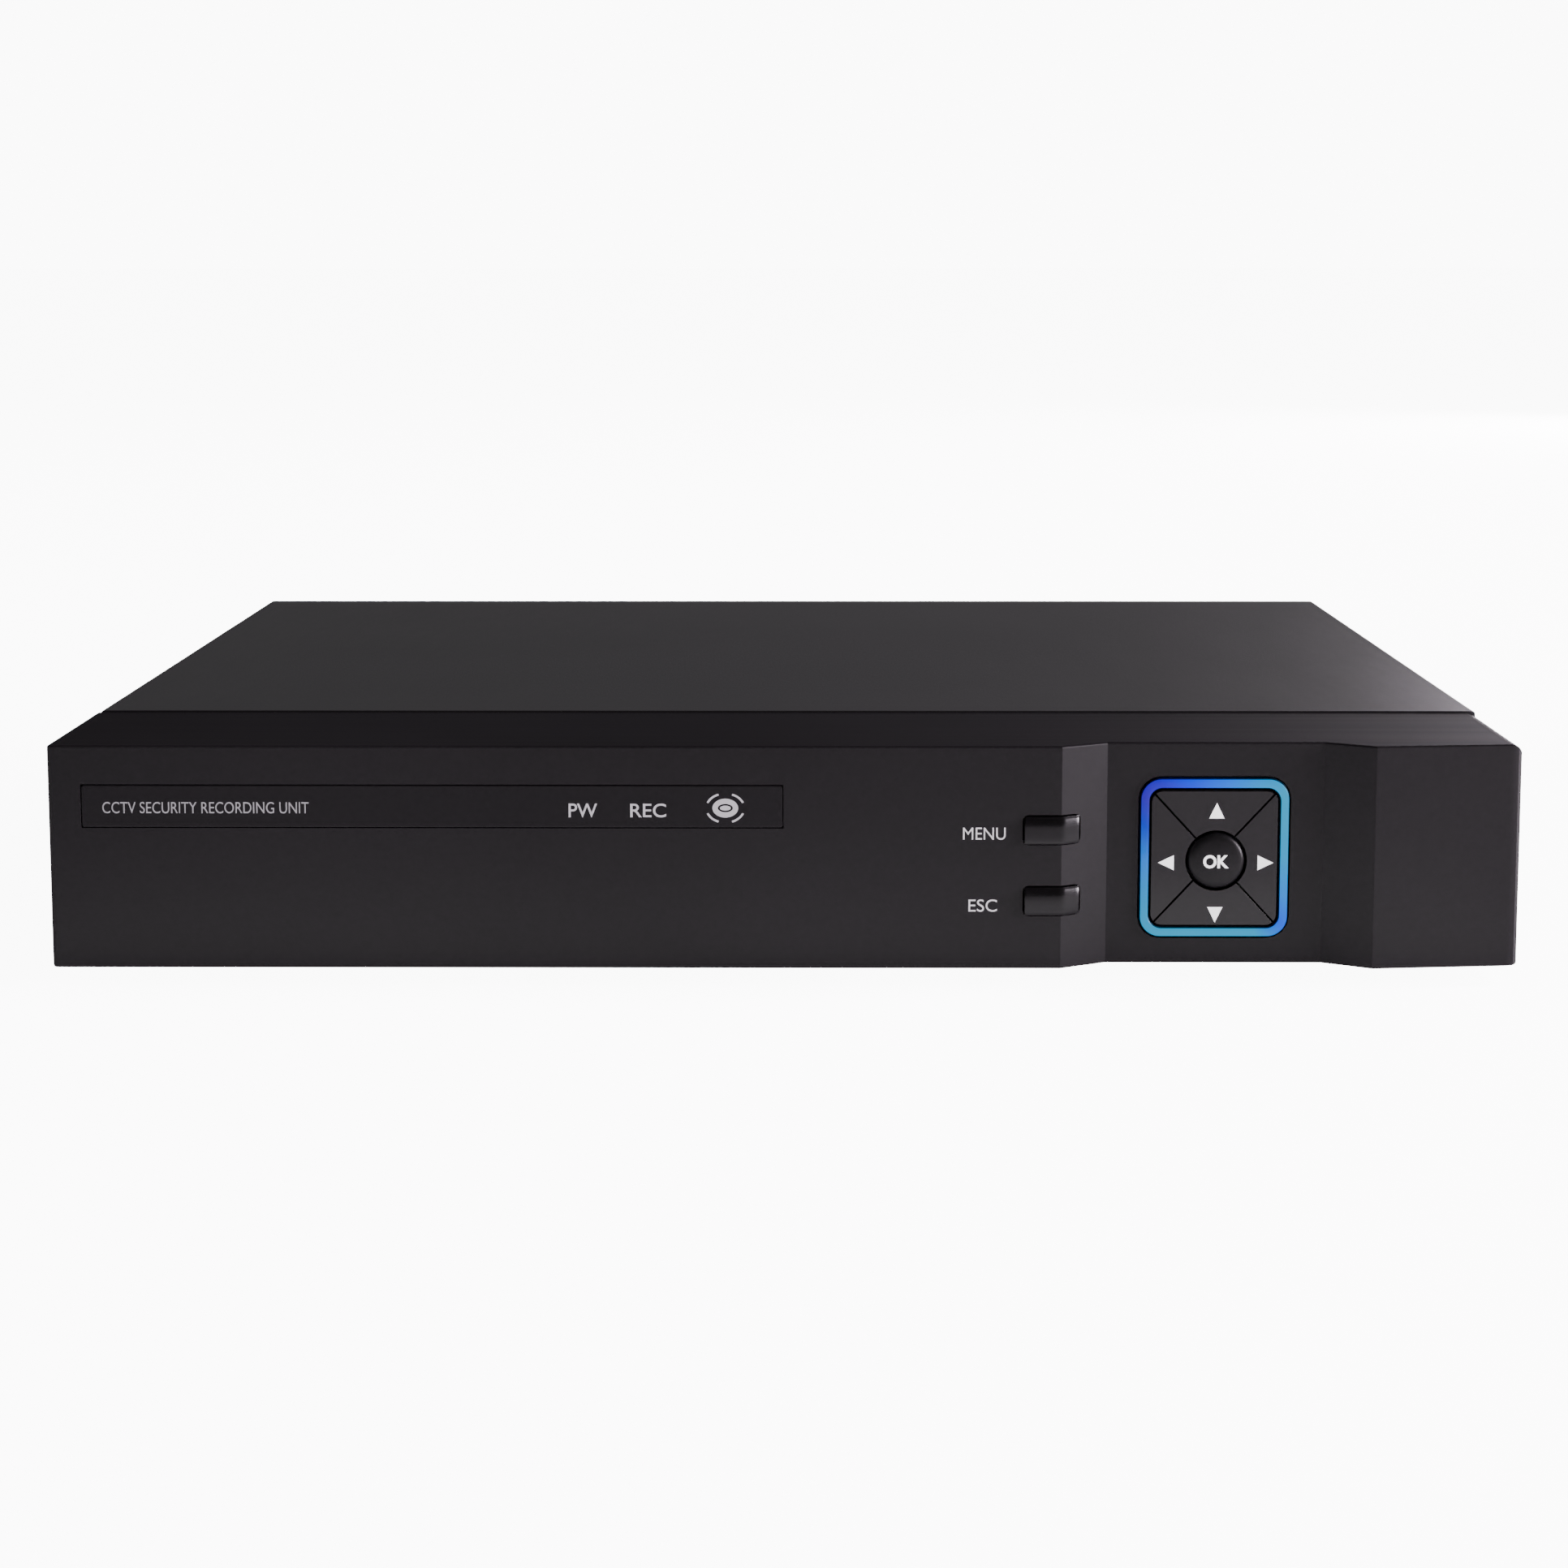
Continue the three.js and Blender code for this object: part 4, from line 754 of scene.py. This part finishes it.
BNC_X, BNC_Z, PANEL_OUT = (22, 5.5, -11, -27.5), (19.5, 35.5), 224.0
for i, bx in enumerate(BNC_X):
    node = "bnc_pair_%d" % (i + 1)
    tip = span(node)[3]
    bm = bm_new()
    add_box(bm, bx - 7.2, bx + 7.2, 205, 222.7, 11.9, 43)
    cuts = []
    for z in (14.2, 27.5, 40.7):
        c = bm_new()
        add_box(c, bx - 5.6, bx + 5.6, 204, 207.2, z - 0.8, z + 0.8)
        cuts.append(c)
    bm = carve(bm, *cuts)
    put(node + "_block", fix_normals(bm), M["black"], CASE, replaces=[node], bevel=0.3)
    metal_bm, white_bm, gold_bm, nut_bm = bm_new(), bm_new(), bm_new(), bm_new()
    for z in BNC_Z:
        c = (bx, z)
        # threaded bush through the panel, washer, nut, then the bayonet barrel
        prof = [(4.2, 221.5), (5.55, 221.5), (5.55, 222.6)]
        y = 222.6
        while y < 226.4:
            prof += [(5.9, y + 0.12), (5.9, y + 0.30), (5.62, y + 0.42), (5.62, y + 0.55)]
            y += 0.55
        prof += [(5.75, 226.9), (5.55, 227.15), (5.0, 227.2), (4.85, 227.35), (4.85, 231.2), (4.72, 231.35), (4.72, 231.9), (4.85, 232.05), (4.85, tip - 0.35), (4.6, tip), (4.2, tip), (4.05, tip - 0.2), (4.05, 226.2), (4.05, 222.0)]
        add_lathe(metal_bm, "Y", c, prof, 48)
        for s in (-1, 1):
            add_lathe(metal_bm, "X", (229.6, z), [(0, bx + s * 6.1), (0.78, bx + s * 6.08), (0.98, bx + s * 5.9), (1.0, bx + s * 4.5), (0, bx + s * 4.5)], 20)
        add_lathe(nut_bm, "Y", c, [(5.95, 224.06), (7.0, 224.06), (7.05, 224.1), (7.05, 224.52), (7.0, 224.56), (5.95, 224.56), (5.95, 224.06)], 40)
        add_prism(nut_bm, "Y", hex_pts(bx, z, 11.9, 0.2 * (i + 1)), 224.58, 226.35)
        add_lathe(white_bm, "Y", c, [(0, 222.2), (4.0, 222.2), (4.0, 226.6), (2.4, 226.7), (2.35, 226.9), (2.35, 232.7), (2.15, 233.0), (0.85, 233.0), (0.75, 232.8), (0.75, 229.0), (0, 229.0)], 32)
        add_lathe(gold_bm, "Y", c, [(0, 229.0), (0.35, 229.0), (0.45, 229.2), (0.45, 232.6), (0.55, 232.85), (0.74, 232.85), (0.74, 228.8), (0, 228.8)], 20)
    put(node + "_barrels", fix_normals(metal_bm), M["nickel"], CASE, smooth=32)
    put(node + "_nuts", fix_normals(nut_bm), M["nickel"], CASE, bevel=0.18)
    put(node + "_insulators", fix_normals(white_bm), M["white"], CASE, smooth=35)
    put(node + "_contacts", fix_normals(gold_bm), M["gold"], CASE, smooth=35)

# stacked phono jacks
bm = bm_new()
add_box(bm, 34.5, 44.5, 209, 222.7, 11.9, 40.5)
c1 = bm_new()
add_box(c1, 35.8, 43.2, 208, 210.4, 14.0, 38.4)
bm = carve(bm, c1)
put("audio_jack_block", fix_normals(bm), M["black"], CASE, replaces=["audio_jacks"], bevel=0.3)
shell_bm = bm_new()
for z, col, nm in ((20, "white", "lower"), (34, "red", "upper")):
    add_lathe(shell_bm, "Y", (39.5, z), [(3.25, 222.4), (4.5, 222.4), (4.5, 223.0), (4.2, 223.1), (4.2, 231.9), (4.05, 232.4), (3.85, 232.5), (3.5, 232.5), (3.35, 232.35), (3.3, 232.1), (3.3, 222.4)], 48)
    b2 = bm_new()
    add_lathe(b2, "Y", (39.5, z), [(3.28, 222.5), (3.28, 231.1), (3.1, 231.3), (1.9, 231.3), (1.7, 231.1), (1.7, 222.5)], 40)
    put("audio_jack_insert_" + nm, fix_normals(b2), M[col], CASE, smooth=35)
    b3 = bm_new()
    add_lathe(b3, "Y", (39.5, z), [(1.35, 223.0), (1.6, 223.0), (1.6, 229.9), (1.5, 230.1), (1.35, 230.1), (1.3, 229.9), (1.3, 223.2), (0, 223.2), (0, 223.0)], 24)
    put("audio_jack_contact_" + nm, fix_normals(b3), M["gold"], CASE, smooth=35)
put("audio_jack_shells", fix_normals(shell_bm), M["nickel"], CASE, smooth=35)


def d_shape(cx, cz, w, h, r, n=5):
    a, b, t = w / 2, w / 2 - 1.2, h / 2
    corners = [((-b, -t), (b, -t), (a, t)), ((b, -t), (a, t), (-a, t)), ((a, t), (-a, t), (-b, -t)), ((-a, t), (-b, -t), (b, -t))]
    pts = []
    for prev, here, nxt in corners:
        p0, p1, p2 = Vector(prev), Vector(here), Vector(nxt)
        u, v = (p0 - p1).normalized(), (p2 - p1).normalized()
        half = math.acos(max(-1, min(1, u.dot(v)))) / 2
        d = r / math.tan(half)
        s, e = p1 + u * d, p1 + v * d
        c = p1 + (u + v).normalized() * (r / math.sin(half))
        a0 = math.atan2(s.y - c.y, s.x - c.x)
        a1 = math.atan2(e.y - c.y, e.x - c.x)
        while a1 < a0:
            a1 += 2 * math.pi
        for i in range(n + 1):
            t2 = a0 + (a1 - a0) * i / n
            pts.append((cx + c.x + r * math.cos(t2), cz + c.y + r * math.sin(t2)))
    return pts


# VGA: blue insulator with contact holes inside a plated shell, two hex posts
VX, VZ = 63.5, 18.2
bm = bm_new()
add_box(bm, VX - 15.3, VX + 15.3, 213, 222.7, 11.9, 24.4)
put("vga_body", fix_normals(bm), M["blue"], CASE, replaces=["vga_port"], bevel=0.4)
bm = bm_new()
loops = [[P(x, y, z) for x, z in d_shape(VX, VZ, w, h, r)] for w, h, r, y in (
    (16.9, 8.3, 1.5, 222.8), (16.9, 8.3, 1.5, 228.3), (16.7, 8.1, 1.4, 228.6), (16.3, 7.7, 1.25, 228.6), (16.1, 7.5, 1.2, 228.4), (16.1, 7.5, 1.2, 223.2), (16.1, 7.5, 1.2, 222.8))]
add_loft(bm, loops, close=True)
put("vga_shell", fix_normals(bm), M["tin"], CASE, smooth=35)
bm = bm_new()
add_prism(bm, "Y", d_shape(VX, VZ, 15.9, 7.3, 1.1), 222.6, 227.9)
holes = bm_new()
for r in range(3):
    for c in range(5):
        hx = VX - 4.6 + c * 2.3 - (0.75 if r == 1 else 0)
        add_lathe(holes, "Y", (hx, VZ + 2 - r * 2), [(0, 224.5), (0.5, 224.5), (0.5, 227.4), (0.75, 228.2), (0, 228.2)], 14)
bm = carve(bm, holes)
put("vga_insert", fix_normals(bm), M["blue"], CASE, bevel=0.12)
bm = bm_new()
posts = bm_new()
for s in (-1, 1):
    px = VX + s * 12.5
    add_prism(bm, "Y", hex_pts(px, VZ, 4.9, 0.15), 224.08, 228.0)
    add_lathe(posts, "Y", (px, VZ), [(0, 224.6), (1.35, 224.6), (1.35, 227.7), (1.7, 228.4), (0, 228.4)], 20)
bm = carve(bm, posts)
add_lathe(bm, "Y", (VX - 12.5, VZ), [(0, 222.3), (2.6, 222.3), (2.6, 224.1), (0, 224.1)], 24)
add_lathe(bm, "Y", (VX + 12.5, VZ), [(0, 222.3), (2.6, 222.3), (2.6, 224.1), (0, 224.1)], 24)
put("vga_posts", fix_normals(bm), M["nickel"], CASE, bevel=0.12)

# HDMI: drawn shell with a tongue and its contacts
HX, PZ = 87.0, 11.9


def hdmi_pts(k):
    return [(HX - 5.6 + 0.3 * k, PZ + 0.45 * k), (HX + 5.6 - 0.3 * k, PZ + 0.45 * k), (HX + 7.2 - 0.45 * k, PZ + 1.9 + 0.2 * k), (HX + 7.2 - 0.45 * k, 17.6 - 0.45 * k), (HX - 7.2 + 0.45 * k, 17.6 - 0.45 * k), (HX - 7.2 + 0.45 * k, PZ + 1.9 + 0.2 * k)]


bm = bm_new()
loops = [[P(x, y, z) for x, z in hdmi_pts(k)] for k, y in ((0, 211), (0, 225.0), (1, 225.0), (1, 215))]
add_loft(bm, loops)
put("hdmi_shell", fix_normals(bm), M["tin"], CASE, replaces=["hdmi_port"], bevel=0.12)
bm = bm_new()
add_box(bm, HX - 5.4, HX + 5.4, 214.6, 222.5, 14.7, 15.9)
add_box(bm, HX - 6.6, HX + 6.6, 214.9, 215.8, PZ + 2.2, 17.1)
put("hdmi_tongue", fix_normals(bm), M["black"], CASE, bevel=0.12)
bm = bm_new()
for i in range(10):
    x = HX - 4.5 + i
    add_box(bm, x - 0.22, x + 0.22, 216.0, 222.2, 14.62, 14.72)
    add_box(bm, x - 0.22, x + 0.22, 216.0, 222.2, 15.88, 15.98)
put("hdmi_contacts", fix_normals(bm), M["gold"], CASE, weight=False)

# stacked USB
UX = 104.0
bm = bm_new()
add_box(bm, UX - 6.9, UX + 6.9, 206, 225.2, 11.9, 27.6)
cuts = []
for z in (13.2, 20.7):
    c = bm_new()
    add_box(c, UX - 6.2, UX + 6.2, 212, 226, z, z + 5.4)
    cuts.append(c)
    for sx in (-1, 1):
        c = bm_new()
        add_box(c, UX + sx * 3.2 - 1.0, UX + sx * 3.2 + 1.0, 219.0, 222.6, z + 5.2, z + 5.75)
        cuts.append(c)
bm = carve(bm, *cuts)
put("usb_shell", fix_normals(bm), M["tin"], CASE, replaces=["usb_ports"], bevel=0.18)
bm, g = bm_new(), bm_new()
for z in (13.2, 20.7):
    add_box(bm, UX - 5.5, UX + 5.5, 211.9, 223.5, z + 2.9, z + 4.7)
    add_box(bm, UX - 6.15, UX + 6.15, 212.05, 212.8, z + 0.05, z + 5.35)
    for i in range(4):
        x = UX - 3.5 + i * 2.333
        add_box(g, x - 0.5, x + 0.5, 214, 223.0 if i in (0, 3) else 222.2, z + 2.80, z + 2.92)
    for sx in (-1, 1):
        # spring tabs bent into the opening
        add_loft(g, [[P(UX + sx * 3.2 - 0.85, 219.2, z + 5.42), P(UX + sx * 3.2 + 0.85, 219.2, z + 5.42), P(UX + sx * 3.2 + 0.85, 219.2, z + 5.25), P(UX + sx * 3.2 - 0.85, 219.2, z + 5.25)],
                     [P(UX + sx * 3.2 - 0.8, 221.4, z + 5.05), P(UX + sx * 3.2 + 0.8, 221.4, z + 5.05), P(UX + sx * 3.2 + 0.8, 221.4, z + 4.9), P(UX + sx * 3.2 - 0.8, 221.4, z + 4.9)],
                     [P(UX + sx * 3.2 - 0.7, 222.4, z + 5.3), P(UX + sx * 3.2 + 0.7, 222.4, z + 5.3), P(UX + sx * 3.2 + 0.7, 222.4, z + 5.15), P(UX + sx * 3.2 - 0.7, 222.4, z + 5.15)]])
put("usb_tongues", fix_normals(bm), M["black"], CASE, bevel=0.15)
put("usb_contacts", fix_normals(g), M["gold"], CASE, smooth=30, weight=False)

# network jack with eight springs and two lamps
LX = 121.5
bm = bm_new()
add_box(bm, LX - 8, LX + 8, 208, 225.2, 11.9, 25.2)
c1, c2, c3, c4 = bm_new(), bm_new(), bm_new(), bm_new()
add_box(c1, LX - 5.9, LX + 5.9, 212, 226, 15.0, 23.0)
add_box(c2, LX - 3.1, LX + 3.1, 214, 226, 12.9, 15.1)
add_box(c3, LX - 7.2, LX - 4.6, 224.0, 226, 12.7, 14.4)
add_box(c4, LX + 4.6, LX + 7.2, 224.0, 226, 12.7, 14.4)
bm = carve(bm, c1, c2, c3, c4)
put("lan_shell", fix_normals(bm), M["tin"], CASE, replaces=["lan_port"], bevel=0.18)
bm, g = bm_new(), bm_new()
add_box(bm, LX - 5.8, LX + 5.8, 212.05, 213.4, 15.05, 22.95)
add_box(bm, LX - 5.8, LX + 5.8, 212.05, 224.2, 22.2, 22.97)
put("lan_liner", fix_normals(bm), M["black"], CASE, bevel=0.12)
for i in range(8):
    x = LX - 3.57 + i * 1.02
    path = [(213.3, 19.2), (216.5, 20.0), (221.0, 22.0), (222.6, 22.25)]
    add_loft(g, [[P(x - 0.2, y, z), P(x + 0.2, y, z), P(x + 0.2, y, z + 0.25), P(x - 0.2, y, z + 0.25)] for y, z in path])
put("lan_contacts", fix_normals(g), M["gold"], CASE, smooth=50, weight=False)
for s, nm, col in ((-1, "left", "yellow"), (1, "right", "lamp_green")):
    b2 = bm_new()
    add_box(b2, LX + s * 5.9 - 1.25, LX + s * 5.9 + 1.25, 224.05, 225.15, 12.75, 14.35)
    put("lan_lamp_" + nm, fix_normals(b2), M[col], CASE, bevel=0.15)

# power inlet
DX, DZ = 138.5, 17.4
bm = bm_new()
add_box(bm, DX - 4.6, DX + 4.6, 211, 224.8, 11.9, 22.5)
c1 = bm_new()
add_lathe(c1, "Y", (DX, DZ), [(0, 214), (3.25, 214), (3.25, 224.1), (3.75, 225.5), (0, 225.5)], 40)
bm = carve(bm, c1)
put("dc_jack_body", fix_normals(bm), M["black"], CASE, replaces=["dc_jack"], bevel=0.3)
bm = bm_new()
add_lathe(bm, "Y", (DX, DZ), [(0, 213.6), (1.0, 213.6), (1.0, 222.7), (0.85, 223.1), (0.5, 223.4), (0, 223.4)], 24)
add_lathe(bm, "Y", (DX, DZ), [(3.0, 214.2), (3.24, 214.2), (3.24, 222.0), (3.0, 222.0), (3.0, 214.2)], 40)
put("dc_jack_contacts", fix_normals(bm), M["nickel"], CASE, smooth=35)


# ------------------------------------------------------------------ fan
dress("fan_frame", M["black"], bevel=0.3, segments=2)
dress("fan_rotor", M["black"], bevel=0.22, segments=2)
FX, FZ = -95.0, 26.3
bm = bm_new()
fy = span("fan_rotor")[3]
add_lathe(bm, "Y", (FX, FZ), [(0, fy - 0.02), (8.6, fy - 0.02), (8.8, fy + 0.04), (8.7, fy + 0.09), (0, fy + 0.09)], 48)
put("fan_hub_label", fix_normals(bm), M["grey"], "fan_wheel", smooth=30)
for i, (sx, sz) in enumerate(((-1, -1), (1, -1), (-1, 1), (1, 1))):
    screw("fan_screw_%d" % (i + 1), "Y", (FX + sx * 16, FZ + sz * 16), 225.35, 224.08, 2.9, 1.6, 213.5, M["zinc"])

# screws under the case that hold the board posts, the drive and the bezel
for i, (x, y) in enumerate(((-31, 116), (139, 116), (-31, 198), (139, 198), (-135.5, 68), (-135.5, 174.1), (-49.9, 68), (-49.9, 174.1))):
    screw("floor_screw_%d" % (i + 1), "Z", (x, y), 3.35, 4.55, 2.7, 1.3, 8.0, M["zinc"])


# ------------------------------------------------------------------ inside the case
def board_look(name, top, extra):
    """Solder mask with tracks; whatever stands above the board's face is dark plastic, or bare metal inside the listed circles."""
    n = Nodes(name)
    sep = n.t.nodes.new("ShaderNodeSeparateXYZ")
    n.link(n.coord.outputs["Object"], sep.inputs[0])
    v = n.t.nodes.new("ShaderNodeTexVoronoi")
    v.distance = "MANHATTAN"
    v.inputs["Scale"].default_value = 230
    n.link(n.where(), v.inputs["Vector"])
    track = n.ramp(v.outputs["Distance"], [(0.28, (0, 0, 0)), (0.33, (1, 1, 1)), (0.44, (1, 1, 1)), (0.50, (0, 0, 0))])
    mask = n.mix(track, (0.008, 0.075, 0.028), (0.020, 0.15, 0.055))
    axis, level, sign = top
    over = n.maths("GREATER_THAN", n.maths("MULTIPLY", sep.outputs[axis], sign), level * sign)
    colour = n.mix(over, mask, (0.018, 0.018, 0.020))
    rough = n.maths("MULTIPLY_ADD", over, 0.12, 0.33)
    metal_fac = None
    for x, y, r in extra:
        dx = n.maths("SUBTRACT", sep.outputs["X"], P(x, 0, 0).x)
        dy = n.maths("SUBTRACT", sep.outputs["Y"], P(0, y, 0).y)
        d = n.maths("SQRT", n.maths("ADD", n.maths("MULTIPLY", dx, dx), n.maths("MULTIPLY", dy, dy)))
        inside = n.maths("MULTIPLY", n.maths("LESS_THAN", d, r * MM), over)
        metal_fac = inside if metal_fac is None else n.maths("MAXIMUM", metal_fac, inside)
    if metal_fac is not None:
        colour = n.mix(metal_fac, colour, (0.55, 0.56, 0.57))
        n.link(metal_fac, n.bsdf.inputs["Metallic"])
    n.set(Base_Color=colour, Roughness=rough, Normal=n.bump(v.outputs["Distance"], 0.10, 0.00005), Specular_IOR_Level=0.45)
    return n.mat


main_top = 11.6 * MM + 0.00002
dress("main_board", board_look("main_board_mask", ("Z", main_top, 1), [(112, 128, 4.3), (124, 128, 4.3), (84, 122, 10.3)]), bevel=0.12)
dress("key_board", board_look("key_board_mask", ("Y", P(0, 19.12, 0).y, 1), []), bevel=0.12)
dress("drive_circuit_board", M["pcb"], bevel=0.15)
dress("heatsink", M["alu"], bevel=0.15)
dress("drive_body", M["alu"], bevel=0.4)
for k in ("up", "down", "left", "right", "ok", "menu", "esc"):
    dress(k + "_switch_body", M["black"], bevel=0.2)
    dress(k + "_switch_plunger", M["grey"], bevel=0.15)
for n_ in ("power_led", "record_led"):
    dress(n_, M["lamp"], bevel=0.1)
dress("ir_receiver", M["black"], bevel=0.25)
for n_ in ("ring_led_left", "ring_led_right"):
    dress(n_, M["white"], bevel=0.15)


def ribbon_look(name):
    """Grey flat cable: sixteen wires side by side, the first one marked."""
    n = Nodes(name)
    sep = n.t.nodes.new("ShaderNodeSeparateXYZ")
    n.link(n.coord.outputs["Object"], sep.inputs[0])
    ph = n.maths("MULTIPLY", sep.outputs["X"], 2 * math.pi / (0.75 * MM))
    wave = n.maths("MULTIPLY_ADD", n.maths("SINE", ph), 0.5, 0.5)
    first = n.maths("LESS_THAN", sep.outputs["X"], P(14.75, 0, 0).x)
    base = n.mix(wave, (0.20, 0.21, 0.22), (0.34, 0.35, 0.37))
    n.set(Base_Color=n.mix(first, base, (0.45, 0.03, 0.02)), Roughness=0.45, Normal=n.bump(wave, 0.6, 0.0003))
    return n.mat


dress("ribbon_cable", ribbon_look("ribbon_wires"), bevel=0.12)


def cable_look(name, colours):
    """A twisted bundle of thin coloured wires."""
    n = Nodes(name)
    w = n.t.nodes.new("ShaderNodeTexWave")
    w.bands_direction = "DIAGONAL"
    w.inputs["Scale"].default_value = 160
    w.inputs["Distortion"].default_value = 0.4
    n.link(n.where(), w.inputs["Vector"])
    stops = []
    for i, c in enumerate(colours):
        stops += [(i / len(colours) + 0.001, c), ((i + 1) / len(colours) - 0.03, c)]
    n.set(Base_Color=n.ramp(w.outputs["Fac"], stops), Roughness=0.42, Normal=n.bump(w.outputs["Fac"], 0.4, 0.0003))
    return n.mat


dress("drive_cable", cable_look("drive_leads", [(0.45, 0.02, 0.02), (0.015, 0.015, 0.016), (0.5, 0.35, 0.02), (0.015, 0.015, 0.016)]), bevel=0.2)
dress("fan_cable", cable_look("fan_leads", [(0.45, 0.02, 0.02), (0.015, 0.015, 0.016)]), bevel=0.12)

# label on the drive: a plain sticker with a ruled border and a bar pattern, no words
bm = bm_new()
x0, x1, y0, y1, z0, z1 = span("drive_body")
add_prism(bm, "Z", rr(x0 + 18, x1 - 18, y0 + 30, y1 - 50, 2, 6), z1 - 0.02, z1 + 0.1)
put("drive_label", fix_normals(bm), M["white"], CASE, bevel=0.04)
bm = bm_new()
add_box(bm, x0 + 24, x1 - 24, y1 - 62, y1 - 60.5, z1 + 0.08, z1 + 0.14)
for i in range(22):
    w = 0.35 + 0.35 * ((i * 7) % 3)
    add_box(bm, x0 + 26 + i * 2.2, x0 + 26 + i * 2.2 + w, y0 + 38, y0 + 48, z1 + 0.08, z1 + 0.14)
put("drive_label_bars", fix_normals(bm), M["black"], CASE, weight=False)

# ------------------------------------------------------------------ prints on the rear panel
PANEL_BACK = 224.0
k = 1
for x in sorted(BNC_X, reverse=True):
    for z in (35.5, 19.5):
        words("rear_number_%d" % k, str(k), x + 8.0 - 0.55, x + 8.0 + 0.55, z + 6.3, PANEL_BACK, M["grey_print"], cap=1.9, thick=0.03, back=True)
        k += 1

# ------------------------------------------------------------------ studio
def studio():
    """Pale floor and soft lights. The floor and sky look white to the camera and stay dim in reflections."""
    n = Nodes("studio_floor")
    path = n.t.nodes.new("ShaderNodeLightPath")
    n.set(Base_Color=(0.86, 0.86, 0.86), Roughness=0.9, Specular_IOR_Level=0.0)
    em = n.t.nodes.new("ShaderNodeEmission")
    em.inputs["Color"].default_value = (1, 1, 1, 1)
    em.inputs["Strength"].default_value = FLOOR_WHITE
    blend = n.t.nodes.new("ShaderNodeAddShader")
    n.link(n.bsdf.outputs[0], blend.inputs[0])
    n.link(em.outputs[0], blend.inputs[1])
    pick = n.t.nodes.new("ShaderNodeMixShader")
    n.link(path.outputs["Is Camera Ray"], pick.inputs[0])
    n.link(n.bsdf.outputs[0], pick.inputs[1])
    n.link(blend.outputs[0], pick.inputs[2])
    n.link(pick.outputs[0], n.out.inputs["Surface"])
    me = bpy.data.meshes.new("studio_floor")
    s = 40
    me.from_pydata([(-s, -s, 0), (s, -s, 0), (s, s, 0), (-s, s, 0)], [], [(0, 1, 2, 3)])
    me.materials.append(n.mat)
    fl = bpy.data.objects.new("studio_floor", me)
    bpy.context.scene.collection.objects.link(fl)

    w = bpy.data.worlds.new("studio")
    bpy.context.scene.world = w
    w.use_nodes = True
    t = w.node_tree
    bg = next(x for x in t.nodes if x.type == "BACKGROUND")
    out = next(x for x in t.nodes if x.type == "OUTPUT_WORLD")
    co = t.nodes.new("ShaderNodeTexCoord")
    sep = t.nodes.new("ShaderNodeSeparateXYZ")
    t.links.new(co.outputs["Generated"], sep.inputs[0])
    ramp = t.nodes.new("ShaderNodeValToRGB")
    ramp.color_ramp.elements[0].position, ramp.color_ramp.elements[1].position = 0.0, 1.0
    ramp.color_ramp.elements[0].color = (*[WORLD[0]] * 3, 1)
    ramp.color_ramp.elements[1].color = (*[WORLD[1]] * 3, 1)
    half = t.nodes.new("ShaderNodeMath")
    half.operation = "MULTIPLY_ADD"
    half.inputs[1].default_value, half.inputs[2].default_value = 0.5, 0.5
    t.links.new(sep.outputs["Y"], half.inputs[0])
    t.links.new(half.outputs[0], ramp.inputs[0])
    t.links.new(ramp.outputs["Color"], bg.inputs["Color"])
    bg.inputs["Strength"].default_value = 1.0
    white = t.nodes.new("ShaderNodeBackground")
    white.inputs["Color"].default_value = (1, 1, 1, 1)
    white.inputs["Strength"].default_value = FLOOR_WHITE + 0.4
    lp = t.nodes.new("ShaderNodeLightPath")
    mx = t.nodes.new("ShaderNodeMixShader")
    t.links.new(lp.outputs["Is Camera Ray"], mx.inputs[0])
    t.links.new(bg.outputs[0], mx.inputs[1])
    t.links.new(white.outputs[0], mx.inputs[2])
    t.links.new(mx.outputs[0], out.inputs["Surface"])

    for name, pos, at, size, power in LIGHTS:
        l = bpy.data.lights.new(name, "AREA")
        l.shape = "RECTANGLE"
        l.size, l.size_y = size
        l.energy = power
        l.color = TINT
        ob = bpy.data.objects.new(name, l)
        ob.location = pos
        ob.rotation_mode = "QUATERNION"
        ob.rotation_quaternion = (Vector(at) - Vector(pos)).to_track_quat("-Z", "Y")
        ob.visible_camera = False
        bpy.context.scene.collection.objects.link(ob)


def around(azimuth, elevation, size, watts, name, distance=2.0):
    """A square soft light at an angle round the object: azimuth 0 is in front, 90 at the right."""
    a, e = math.radians(azimuth), math.radians(elevation)
    at = (distance * math.sin(a) * math.cos(e), -distance * math.cos(a) * math.cos(e), distance * math.sin(e) + 0.02)
    return (name, at, (0, 0, 0.02), (size, size), watts)


def bounce_card():
    """A dim upward-facing card on the floor in front of the object, which the camera doesn't see."""
    l = bpy.data.lights.new("bounce_card", "AREA")
    l.shape = "RECTANGLE"
    l.size, l.size_y = 0.34, 0.06
    l.energy = 0.055
    ob = bpy.data.objects.new("bounce_card", l)
    ob.location = P(0, -48, 0.6)
    ob.rotation_euler = (math.pi, 0, 0)
    ob.visible_camera = False
    bpy.context.scene.collection.objects.link(ob)


FLOOR_WHITE = 10.0
WORLD = (0.055, 0.122)  # dim room, brighter behind the object
TINT = (1.0, 0.90, 1.0)
LIGHTS = [
    around(75, 13, 0.7, 98, "right_soft"),
    around(92, 39, 0.24, 34, "right_high"),
    around(143, 10, 0.5, 6, "back_right"),
    around(153, 9, 0.36, 17, "back_right_low"),
    around(275, 25, 0.6, 17, "left_soft"),
]
studio()
bounce_card()
